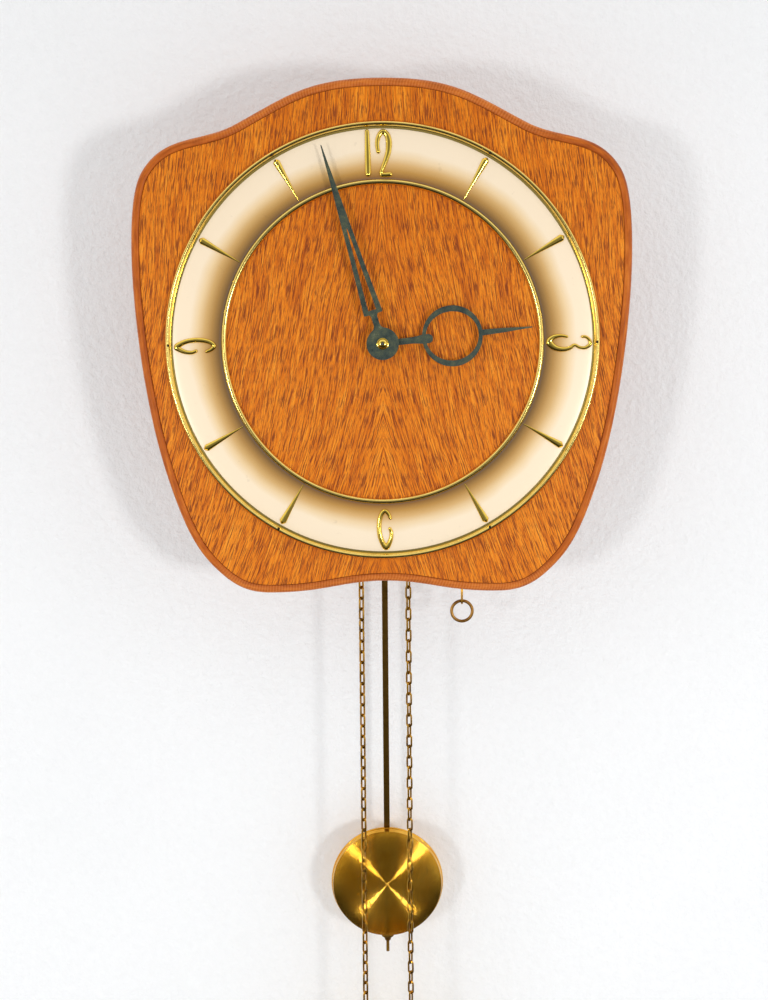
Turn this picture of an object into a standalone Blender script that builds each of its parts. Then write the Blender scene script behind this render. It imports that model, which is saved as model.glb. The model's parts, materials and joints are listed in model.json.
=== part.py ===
"""A weight-driven, striking wall clock, as an assembly of its separate pieces.

A shaped wooden board with a round brass dial hangs in front of a shallow wooden case. The case
holds a chain-driven movement with a time train and a strike train, and a pendulum hangs behind the
board. +Z is up, the front faces -Y, and the origin is on the wall, at the back of the hanger plate.
"""

import math

import bmesh
import bpy
from mathutils import Matrix, Vector

MM = 0.001
GAP = 0.3 * MM  # between pieces that touch
TURN = 2 * math.pi

# ---- the board and its lipping --------------------------------------------------------------
DIAL_Z = -72 * MM  # height of the dial's centre, below the hanger
BOARD_WIDTH = 350.2 * MM
BOARD_RISE = 182.1 * MM  # from the dial's centre to the top of the board
BOARD_DROP = 177.3 * MM  # from the dial's centre to the lowest point of the board
BOARD_THICK = 14 * MM
BOARD_HOLE_R = 7.5 * MM
LIPPING_WIDTH = 6 * MM
LIPPING_PROUD = 0.8 * MM
OUTLINE_STEPS = 5  # points on each curve of the outline

# ---- the depth of the clock, from the wall forward ------------------------------------------
HANGER_THICK = 1.7 * MM
PANEL_THICK = 4 * MM
PANEL_TO_PENDULUM = 19 * MM
PENDULUM_TO_PLATE = 12 * MM
PLATE_THICK = 1.5 * MM
PLATE_SPACE = 32 * MM  # between the two plates of the movement
MOTION_SPACE = 12 * MM  # between the front plate and the board

# ---- the case -------------------------------------------------------------------------------
CASE_WALL = 10 * MM
CASE_CLEARANCE = 5 * MM  # between the movement's plates and the case
CASE_RISE = 105 * MM
CASE_DROP = 95 * MM
SEAT_THICK = 12 * MM
SLOT_CLEARANCE = 1.5 * MM

# ---- the dial -------------------------------------------------------------------------------
BEZEL_R = 152.8 * MM
BEZEL_WIDTH = 5.5 * MM
BEZEL_HIGH = 3.8 * MM
INNER_BEZEL_R = 113.3 * MM
INNER_BEZEL_WIDTH = 4 * MM
INNER_BEZEL_HIGH = 2.6 * MM
RING_THICK = 1 * MM
FIGURE_HIGH = 1.6 * MM
FIGURE_SINK = 0.3 * MM  # how deep a figure is rooted in the ring
FIGURE_OUTER_R = 146.4 * MM
FIGURE_INNER_R = 114 * MM
BATON_WIDE = 4 * MM
BATON_POINT = 0.5 * MM
BEZEL_PIN_R = 0.9 * MM
BEZEL_PIN_SHANK = 0.5 * MM
DIAL_STEPS = 54

# ---- the hands ------------------------------------------------------------------------------
HAND_THICK = 0.8 * MM
HOUR_HAND_LIFT = 5.2 * MM  # from the front of the board to the back of the hour hand
HAND_SPACING = 2.4 * MM
HAND_FIT = 0.3 * MM
MINUTE_HAND_LONG = 142 * MM
MINUTE_HUB_R = 11.3 * MM
MINUTE_HAND_AT = math.radians(-16.9)
HOUR_HAND_LONG = 105.3 * MM
HOUR_HUB_R = 8.5 * MM
HOUR_RING_AT = 49 * MM
HOUR_RING_R = 21.2 * MM
HOUR_EYE_HALF_WIDE = 17 * MM
HOUR_EYE_HALF_LONG = 18.5 * MM
HOUR_HAND_AT = math.radians(84.1)
HAND_NUT_R = 4.1 * MM
HAND_NUT_HIGH = 3.2 * MM
CANNON_R = 2.6 * MM
PIPE_WALL = 1.3 * MM
ARBOR_TIP_R = 0.9 * MM

# ---- the trains -----------------------------------------------------------------------------
ARBOR_R = 1.2 * MM
PIVOT_R = 0.8 * MM
PIVOT_FIT = 0.3 * MM
SIDE_SHAKE = 0.3 * MM
GREAT_TEETH = 36
GREAT_LEAVES = 9
GREAT_MODULE = 1.6 * MM
GREAT_THICK = 2.5 * MM
SECOND_TEETH = 36
SECOND_LEAVES = 9
SECOND_DISTANCE = 24 * MM  # from the second wheel to the centre wheel
WHEEL_TEETH = 48
WHEEL_MODULE = 0.8 * MM
WHEEL_THICK = 1.6 * MM
CENTRE_TEETH = 45
CENTRE_MODULE = 0.9 * MM
WARNING_MODULE = 0.6 * MM
SMALL_LEAVES = 6
TOOTH_FALL = 1.3  # a gap's depth under the pitch circle, in modules
PINION_LONG = 3 * MM
CANNON_LEAVES = 12
MINUTE_WHEEL_TEETH = 36
MINUTE_PINION_LEAVES = 10
HOUR_WHEEL_TEETH = 40
MOTION_DISTANCE = 19.2 * MM
MOTION_BEARING = math.radians(-50)
ESCAPE_TEETH = 44
ESCAPE_R = 13 * MM
ESCAPE_DEPTH = 2 * MM
ESCAPE_AT = (0.0, 40 * MM)
PALLET_AT = (0.0, 60 * MM)
PALLET_SPAN = 12  # in teeth
NIB_WIDE = 0.7 * MM
GREAT_AT = (-37.5 * MM, -38 * MM)  # time side; the strike side is its mirror image
WARNING_BEARING = math.radians(63.8)
FLY_BEARING = math.radians(105)
FLY_R = 9.5 * MM
FLY_LONG = 14 * MM
PIN_COUNT = 8
PIN_CIRCLE_R = 14 * MM
PIN_R = 0.6 * MM

# distances of the layers of wheels from the back plate's front face
SECOND_LAYER = 6 * MM
CENTRE_LAYER = 9 * MM
GREAT_LAYER = 13.5 * MM
ESCAPE_LAYER = 13.5 * MM
WARNING_LAYER = 19.5 * MM
THIRD_LAYER = 21.5 * MM
CHAIN_LAYER = 21.5 * MM
PIN_LAYER = 28.25 * MM

# ---- the plates -----------------------------------------------------------------------------
PLATE_HALF = 70 * MM
PLATE_RISE = 78 * MM
PILLAR_R = 4 * MM
UPPER_PILLAR_AT = (58 * MM, 68 * MM)
LOWER_PILLAR_AT = (37.5 * MM, -74 * MM)

# ---- the hammer and the gong ----------------------------------------------------------------
HAMMER_AT = (50 * MM, -4 * MM)
HAMMER_ARM = 40 * MM
HAMMER_ARM_WIDE = 3 * MM
HAMMER_HEAD_R = 4 * MM
HAMMER_HEAD_LONG = 12 * MM
HAMMER_DROP = 2.2 * MM  # between the resting head and the gong
GONG_R = 1.25 * MM
GONG_LONG = 147 * MM
GONG_BLOCK_SIDE = 20 * MM
GONG_BLOCK_HIGH = 16 * MM
GONG_BLOCK_Z = 72 * MM
GONG_LAYER = 6 * MM  # from the back plate's back face

# ---- the pendulum ---------------------------------------------------------------------------
ROD_WIDE = 4.6 * MM
ROD_THICK = 1.2 * MM
ROD_TOP = 43.7 * MM
BOB_R = 44 * MM
BOB_THICK = 8.8 * MM
BOB_Z = -422 * MM
RATING_NUT_R = 4.75 * MM
RATING_NUT_HIGH = 5.5 * MM
STUB_R = 1.15 * MM
STUB_END = -481 * MM
SPRING_DEEP = 6 * MM
CRUTCH_LAYER = 4 * MM  # from the back plate's back face
SWING = math.radians(4)  # the pendulum's swing to each side

# ---- the chains, the rings and the weights --------------------------------------------------
SPROCKET_R = 20 * MM  # to the middle of the chain
SPROCKET_FLANGE = 0.7 * MM
SPROCKET_RIM = 1.5 * MM
CHAIN_R = 2.5 * MM
CHAIN_JOINT_Z = -160 * MM
TAIL_TOP_Z = -62 * MM
TIME_RING_Z = -171 * MM
STRIKE_RING_Z = -199 * MM
RING_R = 8.9 * MM
RING_WIRE_R = 1.35 * MM
WEIGHT_R = 16 * MM
WEIGHT_LONG = 165 * MM
WEIGHT_TOP = -535 * MM
HOOK_HIGH = 19 * MM
HOOK_WIRE_R = 1.5 * MM
EYE_R = 6 * MM
STEM_R = 2 * MM

# ---- planes that follow from the sizes above ------------------------------------------------
PANEL_BACK = -(HANGER_THICK + GAP)
PANEL_FRONT = PANEL_BACK - PANEL_THICK
PENDULUM_Y = PANEL_FRONT - PANEL_TO_PENDULUM
BACK_PLATE_BACK = PENDULUM_Y - PENDULUM_TO_PLATE
BACK_PLATE_FRONT = BACK_PLATE_BACK - PLATE_THICK
FRONT_PLATE_BACK = BACK_PLATE_FRONT - PLATE_SPACE
FRONT_PLATE_FRONT = FRONT_PLATE_BACK - PLATE_THICK
BOARD_BACK = FRONT_PLATE_FRONT - MOTION_SPACE
BOARD_FRONT = BOARD_BACK - BOARD_THICK
CHAIN_Y = BACK_PLATE_FRONT - CHAIN_LAYER
SEAT_TOP = -CASE_DROP + SEAT_THICK
CASE_INSIDE = PLATE_HALF + CASE_CLEARANCE
CASE_WIDTH = 2 * (CASE_INSIDE + CASE_WALL)
HOUR_HAND_BACK = BOARD_FRONT - HOUR_HAND_LIFT
HOUR_HAND_FRONT = HOUR_HAND_BACK - HAND_THICK
MINUTE_HAND_BACK = HOUR_HAND_FRONT - HAND_SPACING
MINUTE_HAND_FRONT = MINUTE_HAND_BACK - HAND_THICK
DIAL_BACK = BOARD_FRONT - GAP


# ---- small tools ----------------------------------------------------------------------------
def material(name, colour, roughness, metallic):
    made = bpy.data.materials.new(name)
    made.use_nodes = True
    shader = made.node_tree.nodes["Principled BSDF"]
    shader.inputs["Base Color"].default_value = (*colour, 1)
    shader.inputs["Roughness"].default_value = roughness
    shader.inputs["Metallic"].default_value = metallic
    return made


def polar(radius, angle, centre=(0.0, 0.0)):
    """A point in the dial's plane, its angle counted from +X towards +Z."""
    return centre[0] + radius * math.cos(angle), centre[1] + radius * math.sin(angle)


def circle(radius, steps=16, centre=(0.0, 0.0)):
    return [polar(radius, TURN * k / steps, centre) for k in range(steps)]


def box_outline(left, right, low, high):
    return [(left, low), (right, low), (right, high), (left, high)]


def turned_points(points, clockwise):
    """Points of a hand, drawn pointing up, turned clockwise about the dial's centre."""
    c, s = math.cos(clockwise), math.sin(clockwise)
    return [(x * c + z * s, z * c - x * s) for x, z in points]


def clean(bm):
    bmesh.ops.remove_doubles(bm, verts=bm.verts, dist=1e-6)
    bmesh.ops.recalc_face_normals(bm, faces=bm.faces)
    mesh = bpy.data.meshes.new("shape")
    bm.to_mesh(mesh)
    bm.free()
    return mesh


def slab(outline, front, back, holes=()):
    """A flat piece cut from sheet: an outline in x and z with its holes, from front to back in y."""
    curve = bpy.data.curves.new("outline", "CURVE")
    curve.dimensions = "2D"
    curve.fill_mode = "BOTH"
    curve.extrude = (back - front) / 2
    for loop in (outline, *holes):
        spline = curve.splines.new("POLY")
        spline.points.add(len(loop) - 1)
        for point, (x, z) in zip(spline.points, loop):
            point.co = (x, z, 0, 1)
        spline.use_cyclic_u = True
    drawn = bpy.data.objects.new("outline", curve)
    flat = bpy.data.meshes.new_from_object(drawn)
    bm = bmesh.new()
    bm.from_mesh(flat)
    upright = Matrix.Translation((0, (front + back) / 2, 0)) @ Matrix.Rotation(math.pi / 2, 4, "X")
    bmesh.ops.transform(bm, matrix=upright, verts=bm.verts)
    bpy.data.objects.remove(drawn)
    bpy.data.curves.remove(curve)
    bpy.data.meshes.remove(flat)
    return clean(bm)


def turned(profile, steps, axis="Y", centre=(0, 0, 0), solid=False):
    """A turned piece: a profile of (radius, place along the axis) spun about that axis.

    A solid one's profile starts and ends on the axis, and a ring's profile is a closed loop."""
    bm = bmesh.new()
    direction = Vector((0, 1, 0)) if axis == "Y" else Vector((0, 0, 1))
    corners = [bm.verts.new(Vector((radius, 0, 0)) + direction * along) for radius, along in profile]
    pairs = list(zip(corners, corners[1:]))
    if not solid:
        pairs.append((corners[-1], corners[0]))
    edges = [bm.edges.new(pair) for pair in pairs]
    bmesh.ops.spin(bm, geom=corners + edges, cent=(0, 0, 0), axis=direction, angle=TURN, steps=steps)
    bmesh.ops.translate(bm, verts=bm.verts, vec=centre)
    return clean(bm)


def rod(start, end, radius, sides=8):
    """A round bar between two points."""
    start, end = Vector(start), Vector(end)
    along = end - start
    turn = along.to_track_quat("Z", "Y").to_matrix().to_4x4()
    bm = bmesh.new()
    bmesh.ops.create_cone(
        bm, cap_ends=True, segments=sides, radius1=radius, radius2=radius, depth=along.length,
        matrix=Matrix.Translation((start + end) / 2) @ turn,
    )
    return clean(bm)


def block(left, right, front, back, low, high):
    return slab(box_outline(left, right, low, high), front, back)


def combined(operation, first, *others):
    """One mesh from several, by Boolean modifiers."""
    base = bpy.data.objects.new("base", first)
    bpy.context.scene.collection.objects.link(base)
    helpers = []
    for mesh in others:
        helper = bpy.data.objects.new("helper", mesh)
        bpy.context.scene.collection.objects.link(helper)
        boolean = base.modifiers.new("boolean", "BOOLEAN")
        boolean.operation = operation
        boolean.solver = "EXACT"
        boolean.object = helper
        helpers.append(helper)
    graph = bpy.context.evaluated_depsgraph_get()
    graph.update()
    result = bpy.data.meshes.new_from_object(base.evaluated_get(graph))
    for used in (base, *helpers):
        spent = used.data
        bpy.data.objects.remove(used)
        bpy.data.meshes.remove(spent)
    bm = bmesh.new()
    bm.from_mesh(result)
    bpy.data.meshes.remove(result)
    return clean(bm)


def joined(first, *others):
    return combined("UNION", first, *others)


def pivot_empty(name, x, y, z):
    """An empty on a joint's axis, which carries the pieces that move about it."""
    empty = bpy.data.objects.new(name, None)
    empty.location = (x, y, z + DIAL_Z)
    bpy.context.scene.collection.objects.link(empty)
    return empty


def piece(name, mesh, finish, parent=None, at=(0.0, 0.0), sharp=30):
    """A finished piece, its mesh drawn about `at` in the dial's plane."""
    mesh.name = name
    mesh.materials.clear()
    mesh.materials.append(finish)
    mesh.shade_smooth()
    mesh.set_sharp_from_angle(angle=math.radians(sharp))
    made = bpy.data.objects.new(name, mesh)
    bpy.context.scene.collection.objects.link(made)
    if parent:
        made.parent = parent
        made.location = (0, -parent.location.y, 0)
    else:
        made.location = (at[0], 0, at[1] + DIAL_Z)
    return made


# ---- the board ------------------------------------------------------------------------------
def board_outline():
    """Points round the board. Each node of its right half is (x share, z share, the way that the
    edge runs there in degrees, and the reach of the curve before and after the node)."""
    half = BOARD_WIDTH / 2
    drop = BOARD_DROP
    nodes = [
        (0, BOARD_RISE, 0, 0, 50),
        (0.573 * half, 0.833 * BOARD_RISE, -27.7, 41, 27.5),
        (0.950 * half, 0.658 * BOARD_RISE, -58, 31, 12),
        (half, 0.328 * BOARD_RISE, -90, 29, 31.5),
        (0.874 * half, -0.542 * drop, -107.3, 57, 38),
        (0.685 * half, -0.905 * drop, -136, 19, 14),
        (0.465 * half, -drop, -180, 19, 40),
        (0, -0.955 * drop, -180, 31, 0),
    ]
    right = []
    for (x0, z0, way0, _, reach0), (x1, z1, way1, reach1, _) in zip(nodes, nodes[1:]):
        start, end = Vector((x0, z0)), Vector((x1, z1))
        leave = start + Vector(polar(reach0 * MM, math.radians(way0)))
        arrive = end - Vector(polar(reach1 * MM, math.radians(way1)))
        for step in range(OUTLINE_STEPS):
            t = step / OUTLINE_STEPS
            s = 1 - t
            right.append(s**3 * start + 3 * s * s * t * leave + 3 * s * t * t * arrive + t**3 * end)
    bottom = Vector((0, -0.955 * drop))
    left = [Vector((-p.x, p.y)) for p in reversed(right[1:])]
    return right + [bottom] + left


def inset(outline, distance):
    """The outline moved inwards. It runs clockwise, so the inside lies to its right."""
    moved = []
    for before, point, after in zip([outline[-1], *outline], outline, [*outline[1:], outline[0]]):
        way = (after - before).normalized()
        moved.append(point + distance * Vector((way.y, -way.x)))
    return moved


def make_board(finishes):
    outline = board_outline()
    face = [tuple(p) for p in inset(outline, LIPPING_WIDTH + GAP)]
    board = slab(face, BOARD_FRONT, BOARD_BACK, [circle(BOARD_HOLE_R, 20)])
    piece("front_board", board, finishes["veneer"])

    crown = BOARD_FRONT - LIPPING_PROUD
    section = [  # (inwards from the edge, y)
        (0, BOARD_BACK),
        (0, crown + 0.45 * LIPPING_WIDTH),
        (0.18 * LIPPING_WIDTH, crown + 0.1 * LIPPING_WIDTH),
        (0.55 * LIPPING_WIDTH, crown),
        (LIPPING_WIDTH, BOARD_FRONT),
        (LIPPING_WIDTH, BOARD_BACK),
    ]
    bm = bmesh.new()
    rails = []
    for inwards, y in section:
        rails.append([bm.verts.new((p.x, y, p.y)) for p in inset(outline, inwards)])
    for rail, following in zip(rails, [*rails[1:], rails[0]]):
        for k in range(len(rail)):
            bm.faces.new((rail[k - 1], rail[k], following[k], following[k - 1]))
    piece("edge_lipping", clean(bm), finishes["lipping"])


# ---- the case -------------------------------------------------------------------------------
def pendulum_slot():
    """Half the width of the seat board's slot for the swinging rod."""
    reach = PALLET_AT[1] + CASE_DROP
    return reach * math.sin(SWING) + ROD_WIDE / 2 + SLOT_CLEARANCE


def keyhole(top, width, head_r, steps=10):
    """A round hole with a slot above it, in which the clock hangs."""
    low = top - 13 * MM
    join = math.asin(width / 2 / head_r)
    around = [math.pi / 2 + join + k * (TURN - 2 * join) / steps for k in range(steps + 1)]
    return [(-width / 2, top), *[polar(head_r, a, (0, low)) for a in around], (width / 2, top)]


def make_case(finishes):
    half = CASE_WIDTH / 2
    front = BOARD_BACK + GAP
    back = PANEL_FRONT - GAP
    wood = finishes["case"]
    piece("case_top", block(-half, half, front, back, CASE_RISE - CASE_WALL, CASE_RISE), wood)
    top = CASE_RISE - CASE_WALL - GAP
    piece("case_side_left", block(-half, -CASE_INSIDE, front, back, -CASE_DROP, top), wood)
    piece("case_side_right", block(CASE_INSIDE, half, front, back, -CASE_DROP, top), wood)

    inside = CASE_INSIDE - GAP
    openings = []
    strand = CHAIN_R + SLOT_CLEARANCE
    for x in strand_places():
        openings.append(block(x - strand, x + strand, CHAIN_Y - strand, CHAIN_Y + strand,
                              -CASE_DROP - GAP, SEAT_TOP + GAP))
    slot = pendulum_slot()
    deep = SPRING_DEEP / 2
    openings.append(block(-slot, slot, PENDULUM_Y - deep, PENDULUM_Y + deep,
                          -CASE_DROP - GAP, SEAT_TOP + GAP))
    seat = block(-inside, inside, front, back, -CASE_DROP, SEAT_TOP)
    piece("seat_board", combined("DIFFERENCE", seat, *openings), wood)

    hang = -DIAL_Z  # the hanger plate sits at the origin's height
    nail = box_outline(-6 * MM, 6 * MM, hang - 23 * MM, hang - 2 * MM)
    panel = slab(box_outline(-half, half, -CASE_DROP, CASE_RISE), PANEL_FRONT, PANEL_BACK, [nail])
    piece("back_panel", panel, finishes["panel"])
    outline = box_outline(-14 * MM, 14 * MM, hang - 26 * MM, hang + 9 * MM)
    hole = [(x, z + hang) for x, z in keyhole(-3 * MM, 5 * MM, 5 * MM)]
    piece("hanger_plate", slab(outline, -HANGER_THICK, 0, [hole]), finishes["steel"])


def strand_places():
    """The x of each hanging length of chain, from left to right."""
    inner, outer = abs(GREAT_AT[0]) - SPROCKET_R, abs(GREAT_AT[0]) + SPROCKET_R
    return [-outer, -inner, inner, outer]


# ---- the dial -------------------------------------------------------------------------------
def ribbon(points, widths):
    """The outline of a brush stroke: a line of points with a width at each."""
    left, right = [], []
    line = [Vector(p) * MM for p in points]
    for k, point in enumerate(line):
        way = (line[min(k + 1, len(line) - 1)] - line[max(k - 1, 0)]).normalized()
        side = Vector((-way.y, way.x)) * widths[k] * MM / 2
        left.append(tuple(point + side))
        right.append(tuple(point - side))
    return left + right[::-1]


def figures():
    """The raised figures as outlines: 12, 3, 6 and 9, and a baton at each other hour."""
    drawn = [box_outline(-11.7 * MM, -8.1 * MM, 119 * MM, FIGURE_OUTER_R - 0.6 * MM)]
    drawn.append(ribbon(
        [(-4.4, 136), (-3.4, 141.6), (0, 144.6), (3.6, 142.6), (4.4, 137.5),
         (2.6, 131), (-1.4, 124.6), (-3.4, 120.4), (5.6, 120.4)],
        [1.2, 1.8, 2.4, 2.6, 2.6, 2.6, 2.4, 2.4, 2.4],
    ))
    six = ribbon(
        [(4.6, -119), (2.6, -115.8), (-1, -115.4), (-3.8, -119), (-4.6, -128),
         (-4.2, -138), (-0.4, -144), (3.6, -139.5), (3.8, -131.5)],
        [1.0, 1.6, 2.2, 2.6, 2.4, 2.8, 3.6, 2.8, 1.4],
    )
    three = ribbon(
        [(145.2, 3.2), (144.6, -2.4), (141, -4.6), (137.2, -3.6), (134.4, -0.4),
         (131.4, -3.8), (124.6, -4.8), (118, -3.6), (115.6, 1), (118.6, 4.8)],
        [1.2, 2.0, 2.4, 2.2, 1.6, 2.2, 2.6, 3.2, 3.0, 1.4],
    )
    drawn += [six, turned_points(six, math.pi / 2), three]
    for hour in (1, 2, 4, 5, 7, 8, 10, 11):
        wedge = [
            (-BATON_WIDE / 2, FIGURE_OUTER_R - 1 * MM), (BATON_WIDE / 2, FIGURE_OUTER_R - 1 * MM),
            (BATON_POINT / 2, FIGURE_INNER_R), (-BATON_POINT / 2, FIGURE_INNER_R),
        ]
        drawn.append(turned_points(wedge, TURN * hour / 12))
    return drawn


def make_dial(finishes):
    brass = finishes["brass"]
    inner = BEZEL_R - BEZEL_WIDTH
    crest = DIAL_BACK - BEZEL_HIGH
    bead = [
        (inner, DIAL_BACK), (BEZEL_R, DIAL_BACK), (BEZEL_R, DIAL_BACK - 0.5 * BEZEL_HIGH),
        (BEZEL_R - 0.3 * BEZEL_WIDTH, crest), (inner + 0.3 * BEZEL_WIDTH, crest),
        (inner, DIAL_BACK - 0.6 * BEZEL_HIGH),
    ]
    places = [polar(BEZEL_R - BEZEL_WIDTH / 2, TURN * k / 6) for k in range(6)]
    bores = [
        rod((x, DIAL_BACK + 1 * MM, z), (x, crest - 1 * MM, z), BEZEL_PIN_SHANK + GAP, 6)
        for x, z in places
    ]
    bezel = combined("DIFFERENCE", turned(bead, DIAL_STEPS), *bores)
    piece("outer_bezel", bezel, brass)
    for number, (x, z) in enumerate(places, 1):
        head = crest - GAP
        nail = [
            (0, head - 0.7 * BEZEL_PIN_R), (0.6 * BEZEL_PIN_R, head - 0.5 * BEZEL_PIN_R),
            (BEZEL_PIN_R, head), (BEZEL_PIN_SHANK, head),
            (BEZEL_PIN_SHANK, DIAL_BACK), (0, DIAL_BACK),
        ]
        piece(f"bezel_pin_{number}", turned(nail, 8, solid=True), brass, at=(x, z))

    face = DIAL_BACK - RING_THICK
    outer = inner - GAP
    plate = [(INNER_BEZEL_R + GAP, DIAL_BACK), (outer, DIAL_BACK), (outer, face), (INNER_BEZEL_R + GAP, face)]
    raised = [slab(f, face - FIGURE_HIGH, face + FIGURE_SINK) for f in figures()]
    piece("chapter_ring", joined(turned(plate, DIAL_STEPS), *raised), finishes["dial"])

    inside = INNER_BEZEL_R - INNER_BEZEL_WIDTH
    rim = DIAL_BACK - INNER_BEZEL_HIGH
    edge = [
        (inside, DIAL_BACK), (INNER_BEZEL_R, DIAL_BACK), (INNER_BEZEL_R, rim + 0.3 * INNER_BEZEL_HIGH),
        (INNER_BEZEL_R - 0.4 * INNER_BEZEL_WIDTH, rim), (inside, rim + 0.4 * INNER_BEZEL_HIGH),
    ]
    piece("inner_bezel", turned(edge, DIAL_STEPS), brass)


# ---- the hands ------------------------------------------------------------------------------
def mirrored(points):
    """A half outline on the right and its mirror image, as one loop."""
    return points + [(-x, z) for x, z in reversed(points)]


def make_hands(finishes, centre, hour):
    dark = finishes["hands"]
    bore = CANNON_R + HAND_FIT
    hub_end = math.radians(65)
    hub = [polar(MINUTE_HUB_R, a) for a in (math.radians(d) for d in (-90, -60, -30, 0, 30))]
    half = hub[1:] + [
        polar(MINUTE_HUB_R, hub_end), (2.2 * MM, 12 * MM), (2.2 * MM, 20 * MM), (6.7 * MM, 21.6 * MM),
        (3.4 * MM, 82.6 * MM), (0.3 * MM, MINUTE_HAND_LONG),
    ]
    outline = [(0.0, -MINUTE_HUB_R)] + mirrored(half)
    slit = mirrored([(2.7 * MM, 24.2 * MM), (1.2 * MM, 80 * MM), (0.2 * MM, 82.6 * MM)])
    minute = slab(
        turned_points(outline, MINUTE_HAND_AT), MINUTE_HAND_FRONT, MINUTE_HAND_BACK,
        [circle(bore, 16), turned_points(slit, MINUTE_HAND_AT)],
    )
    piece("minute_hand", minute, dark, centre)

    pipe = CANNON_R + HAND_FIT + PIPE_WALL + HAND_FIT
    eye_z = HOUR_RING_AT
    eye = [(x * HOUR_EYE_HALF_WIDE, eye_z + z * HOUR_EYE_HALF_LONG) for x, z in circle(1, 24)]
    ring = slab(
        turned_points(circle(HOUR_RING_R, 32, (0, eye_z)), HOUR_HAND_AT),
        HOUR_HAND_FRONT + 0.1 * MM, HOUR_HAND_BACK - 0.05 * MM, [turned_points(eye, HOUR_HAND_AT)],
    )
    spoon = [
        (2.2 * MM, 0), (2.2 * MM, 20 * MM), (3.2 * MM, 28 * MM), (3.2 * MM, 32.5 * MM), (0.2 * MM, 35.4 * MM),
    ]
    arm = slab(
        turned_points(mirrored(spoon), HOUR_HAND_AT),
        HOUR_HAND_FRONT, HOUR_HAND_BACK,
    )
    pointer = slab(
        turned_points(mirrored([(2.1 * MM, 68 * MM), (0.5 * MM, HOUR_HAND_LONG)]), HOUR_HAND_AT),
        HOUR_HAND_FRONT + 0.05 * MM, HOUR_HAND_BACK - 0.1 * MM,
    )
    disc = turned([(0, HOUR_HAND_FRONT - 0.1 * MM), (HOUR_HUB_R, HOUR_HAND_FRONT - 0.1 * MM),
                   (HOUR_HUB_R, HOUR_HAND_BACK + 0.05 * MM), (0, HOUR_HAND_BACK + 0.05 * MM)], 24, solid=True)
    whole = joined(ring, arm, pointer, disc)
    drill = turned([(0, HOUR_HAND_FRONT - 1 * MM), (pipe, HOUR_HAND_FRONT - 1 * MM),
                    (pipe, HOUR_HAND_BACK + 1 * MM), (0, HOUR_HAND_BACK + 1 * MM)], 16, solid=True)
    piece("hour_hand", combined("DIFFERENCE", whole, drill), dark, hour)

    foot = MINUTE_HAND_FRONT - GAP
    top = foot - HAND_NUT_HIGH
    bore = ARBOR_TIP_R + HAND_FIT
    dome = [
        (bore, foot), (HAND_NUT_R, foot), (HAND_NUT_R, foot - 0.4 * HAND_NUT_HIGH),
        (0.75 * HAND_NUT_R, foot - 0.8 * HAND_NUT_HIGH), (0.45 * HAND_NUT_R, top), (bore, top),
    ]
    piece("hand_nut", turned(dome, 16), finishes["brass"], centre)


# ---- wheels and arbors ----------------------------------------------------------------------
def toothed(teeth, module, phase, rise=0.6):
    """A gear's outline with pointed clock teeth: a root and a tip for each. Heights are in modules."""
    pitch = TURN / teeth
    radius = teeth * module / 2
    corners = ((radius - TOOTH_FALL * module, -0.5), (radius + rise * module, 0))
    return [polar(r, phase + (k + share) * pitch) for k in range(teeth) for r, share in corners]


def leaves(count, module, phase):
    """A pinion's outline, its leaves a little lower than a wheel's teeth."""
    return toothed(count, module, phase, rise=0.5)


def meshing(first_at, first_teeth, first_phase, second_at, second_teeth):
    """The phase that puts a tooth of the first gear in a gap of the second."""
    line = math.atan2(second_at[1] - first_at[1], second_at[0] - first_at[0])
    ahead = (line - first_phase) * first_teeth / TURN
    return line + math.pi - (0.5 - ahead) * TURN / second_teeth


def crossings(count, inner, outer, arm):
    """The windows between a wheel's arms."""
    windows = []
    for k in range(count):
        start, end = TURN * k / count, TURN * (k + 1) / count
        low = [start + arm / 2 / inner, end - arm / 2 / inner]
        high = [start + arm / 2 / outer + share * (end - start - arm / outer) for share in (0, 0.5, 1)]
        windows.append([polar(inner, a) for a in low] + [polar(outer, a) for a in reversed(high)])
    return windows


def wheel_blank(teeth, module, phase, layer, thick, arms=4):
    radius = teeth * module / 2
    windows = crossings(arms, 0.3 * radius, 0.8 * radius, 0.16 * radius)
    middle = BACK_PLATE_FRONT - layer
    return slab(toothed(teeth, module, phase), middle - thick / 2, middle + thick / 2, windows)


def pinion_blank(count, module, phase, layer, long=PINION_LONG):
    middle = BACK_PLATE_FRONT - layer
    return slab(leaves(count, module, phase), middle - long / 2, middle + long / 2)


def arbor(front_end=None, front_r=PIVOT_R, back_end=None, back_r=PIVOT_R):
    """A shaft between the plates, with a pivot through each plate."""
    front = FRONT_PLATE_FRONT if front_end is None else front_end
    back = BACK_PLATE_BACK if back_end is None else back_end
    low, high = FRONT_PLATE_BACK + SIDE_SHAKE, BACK_PLATE_FRONT - SIDE_SHAKE
    profile = [
        (0, front), (front_r, front), (front_r, low), (ARBOR_R, low),
        (ARBOR_R, high), (back_r, high), (back_r, back), (0, back),
    ]
    return turned(profile, 8, solid=True)


def step_from(start, bearing, distance):
    return polar(distance, bearing, start)


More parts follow.
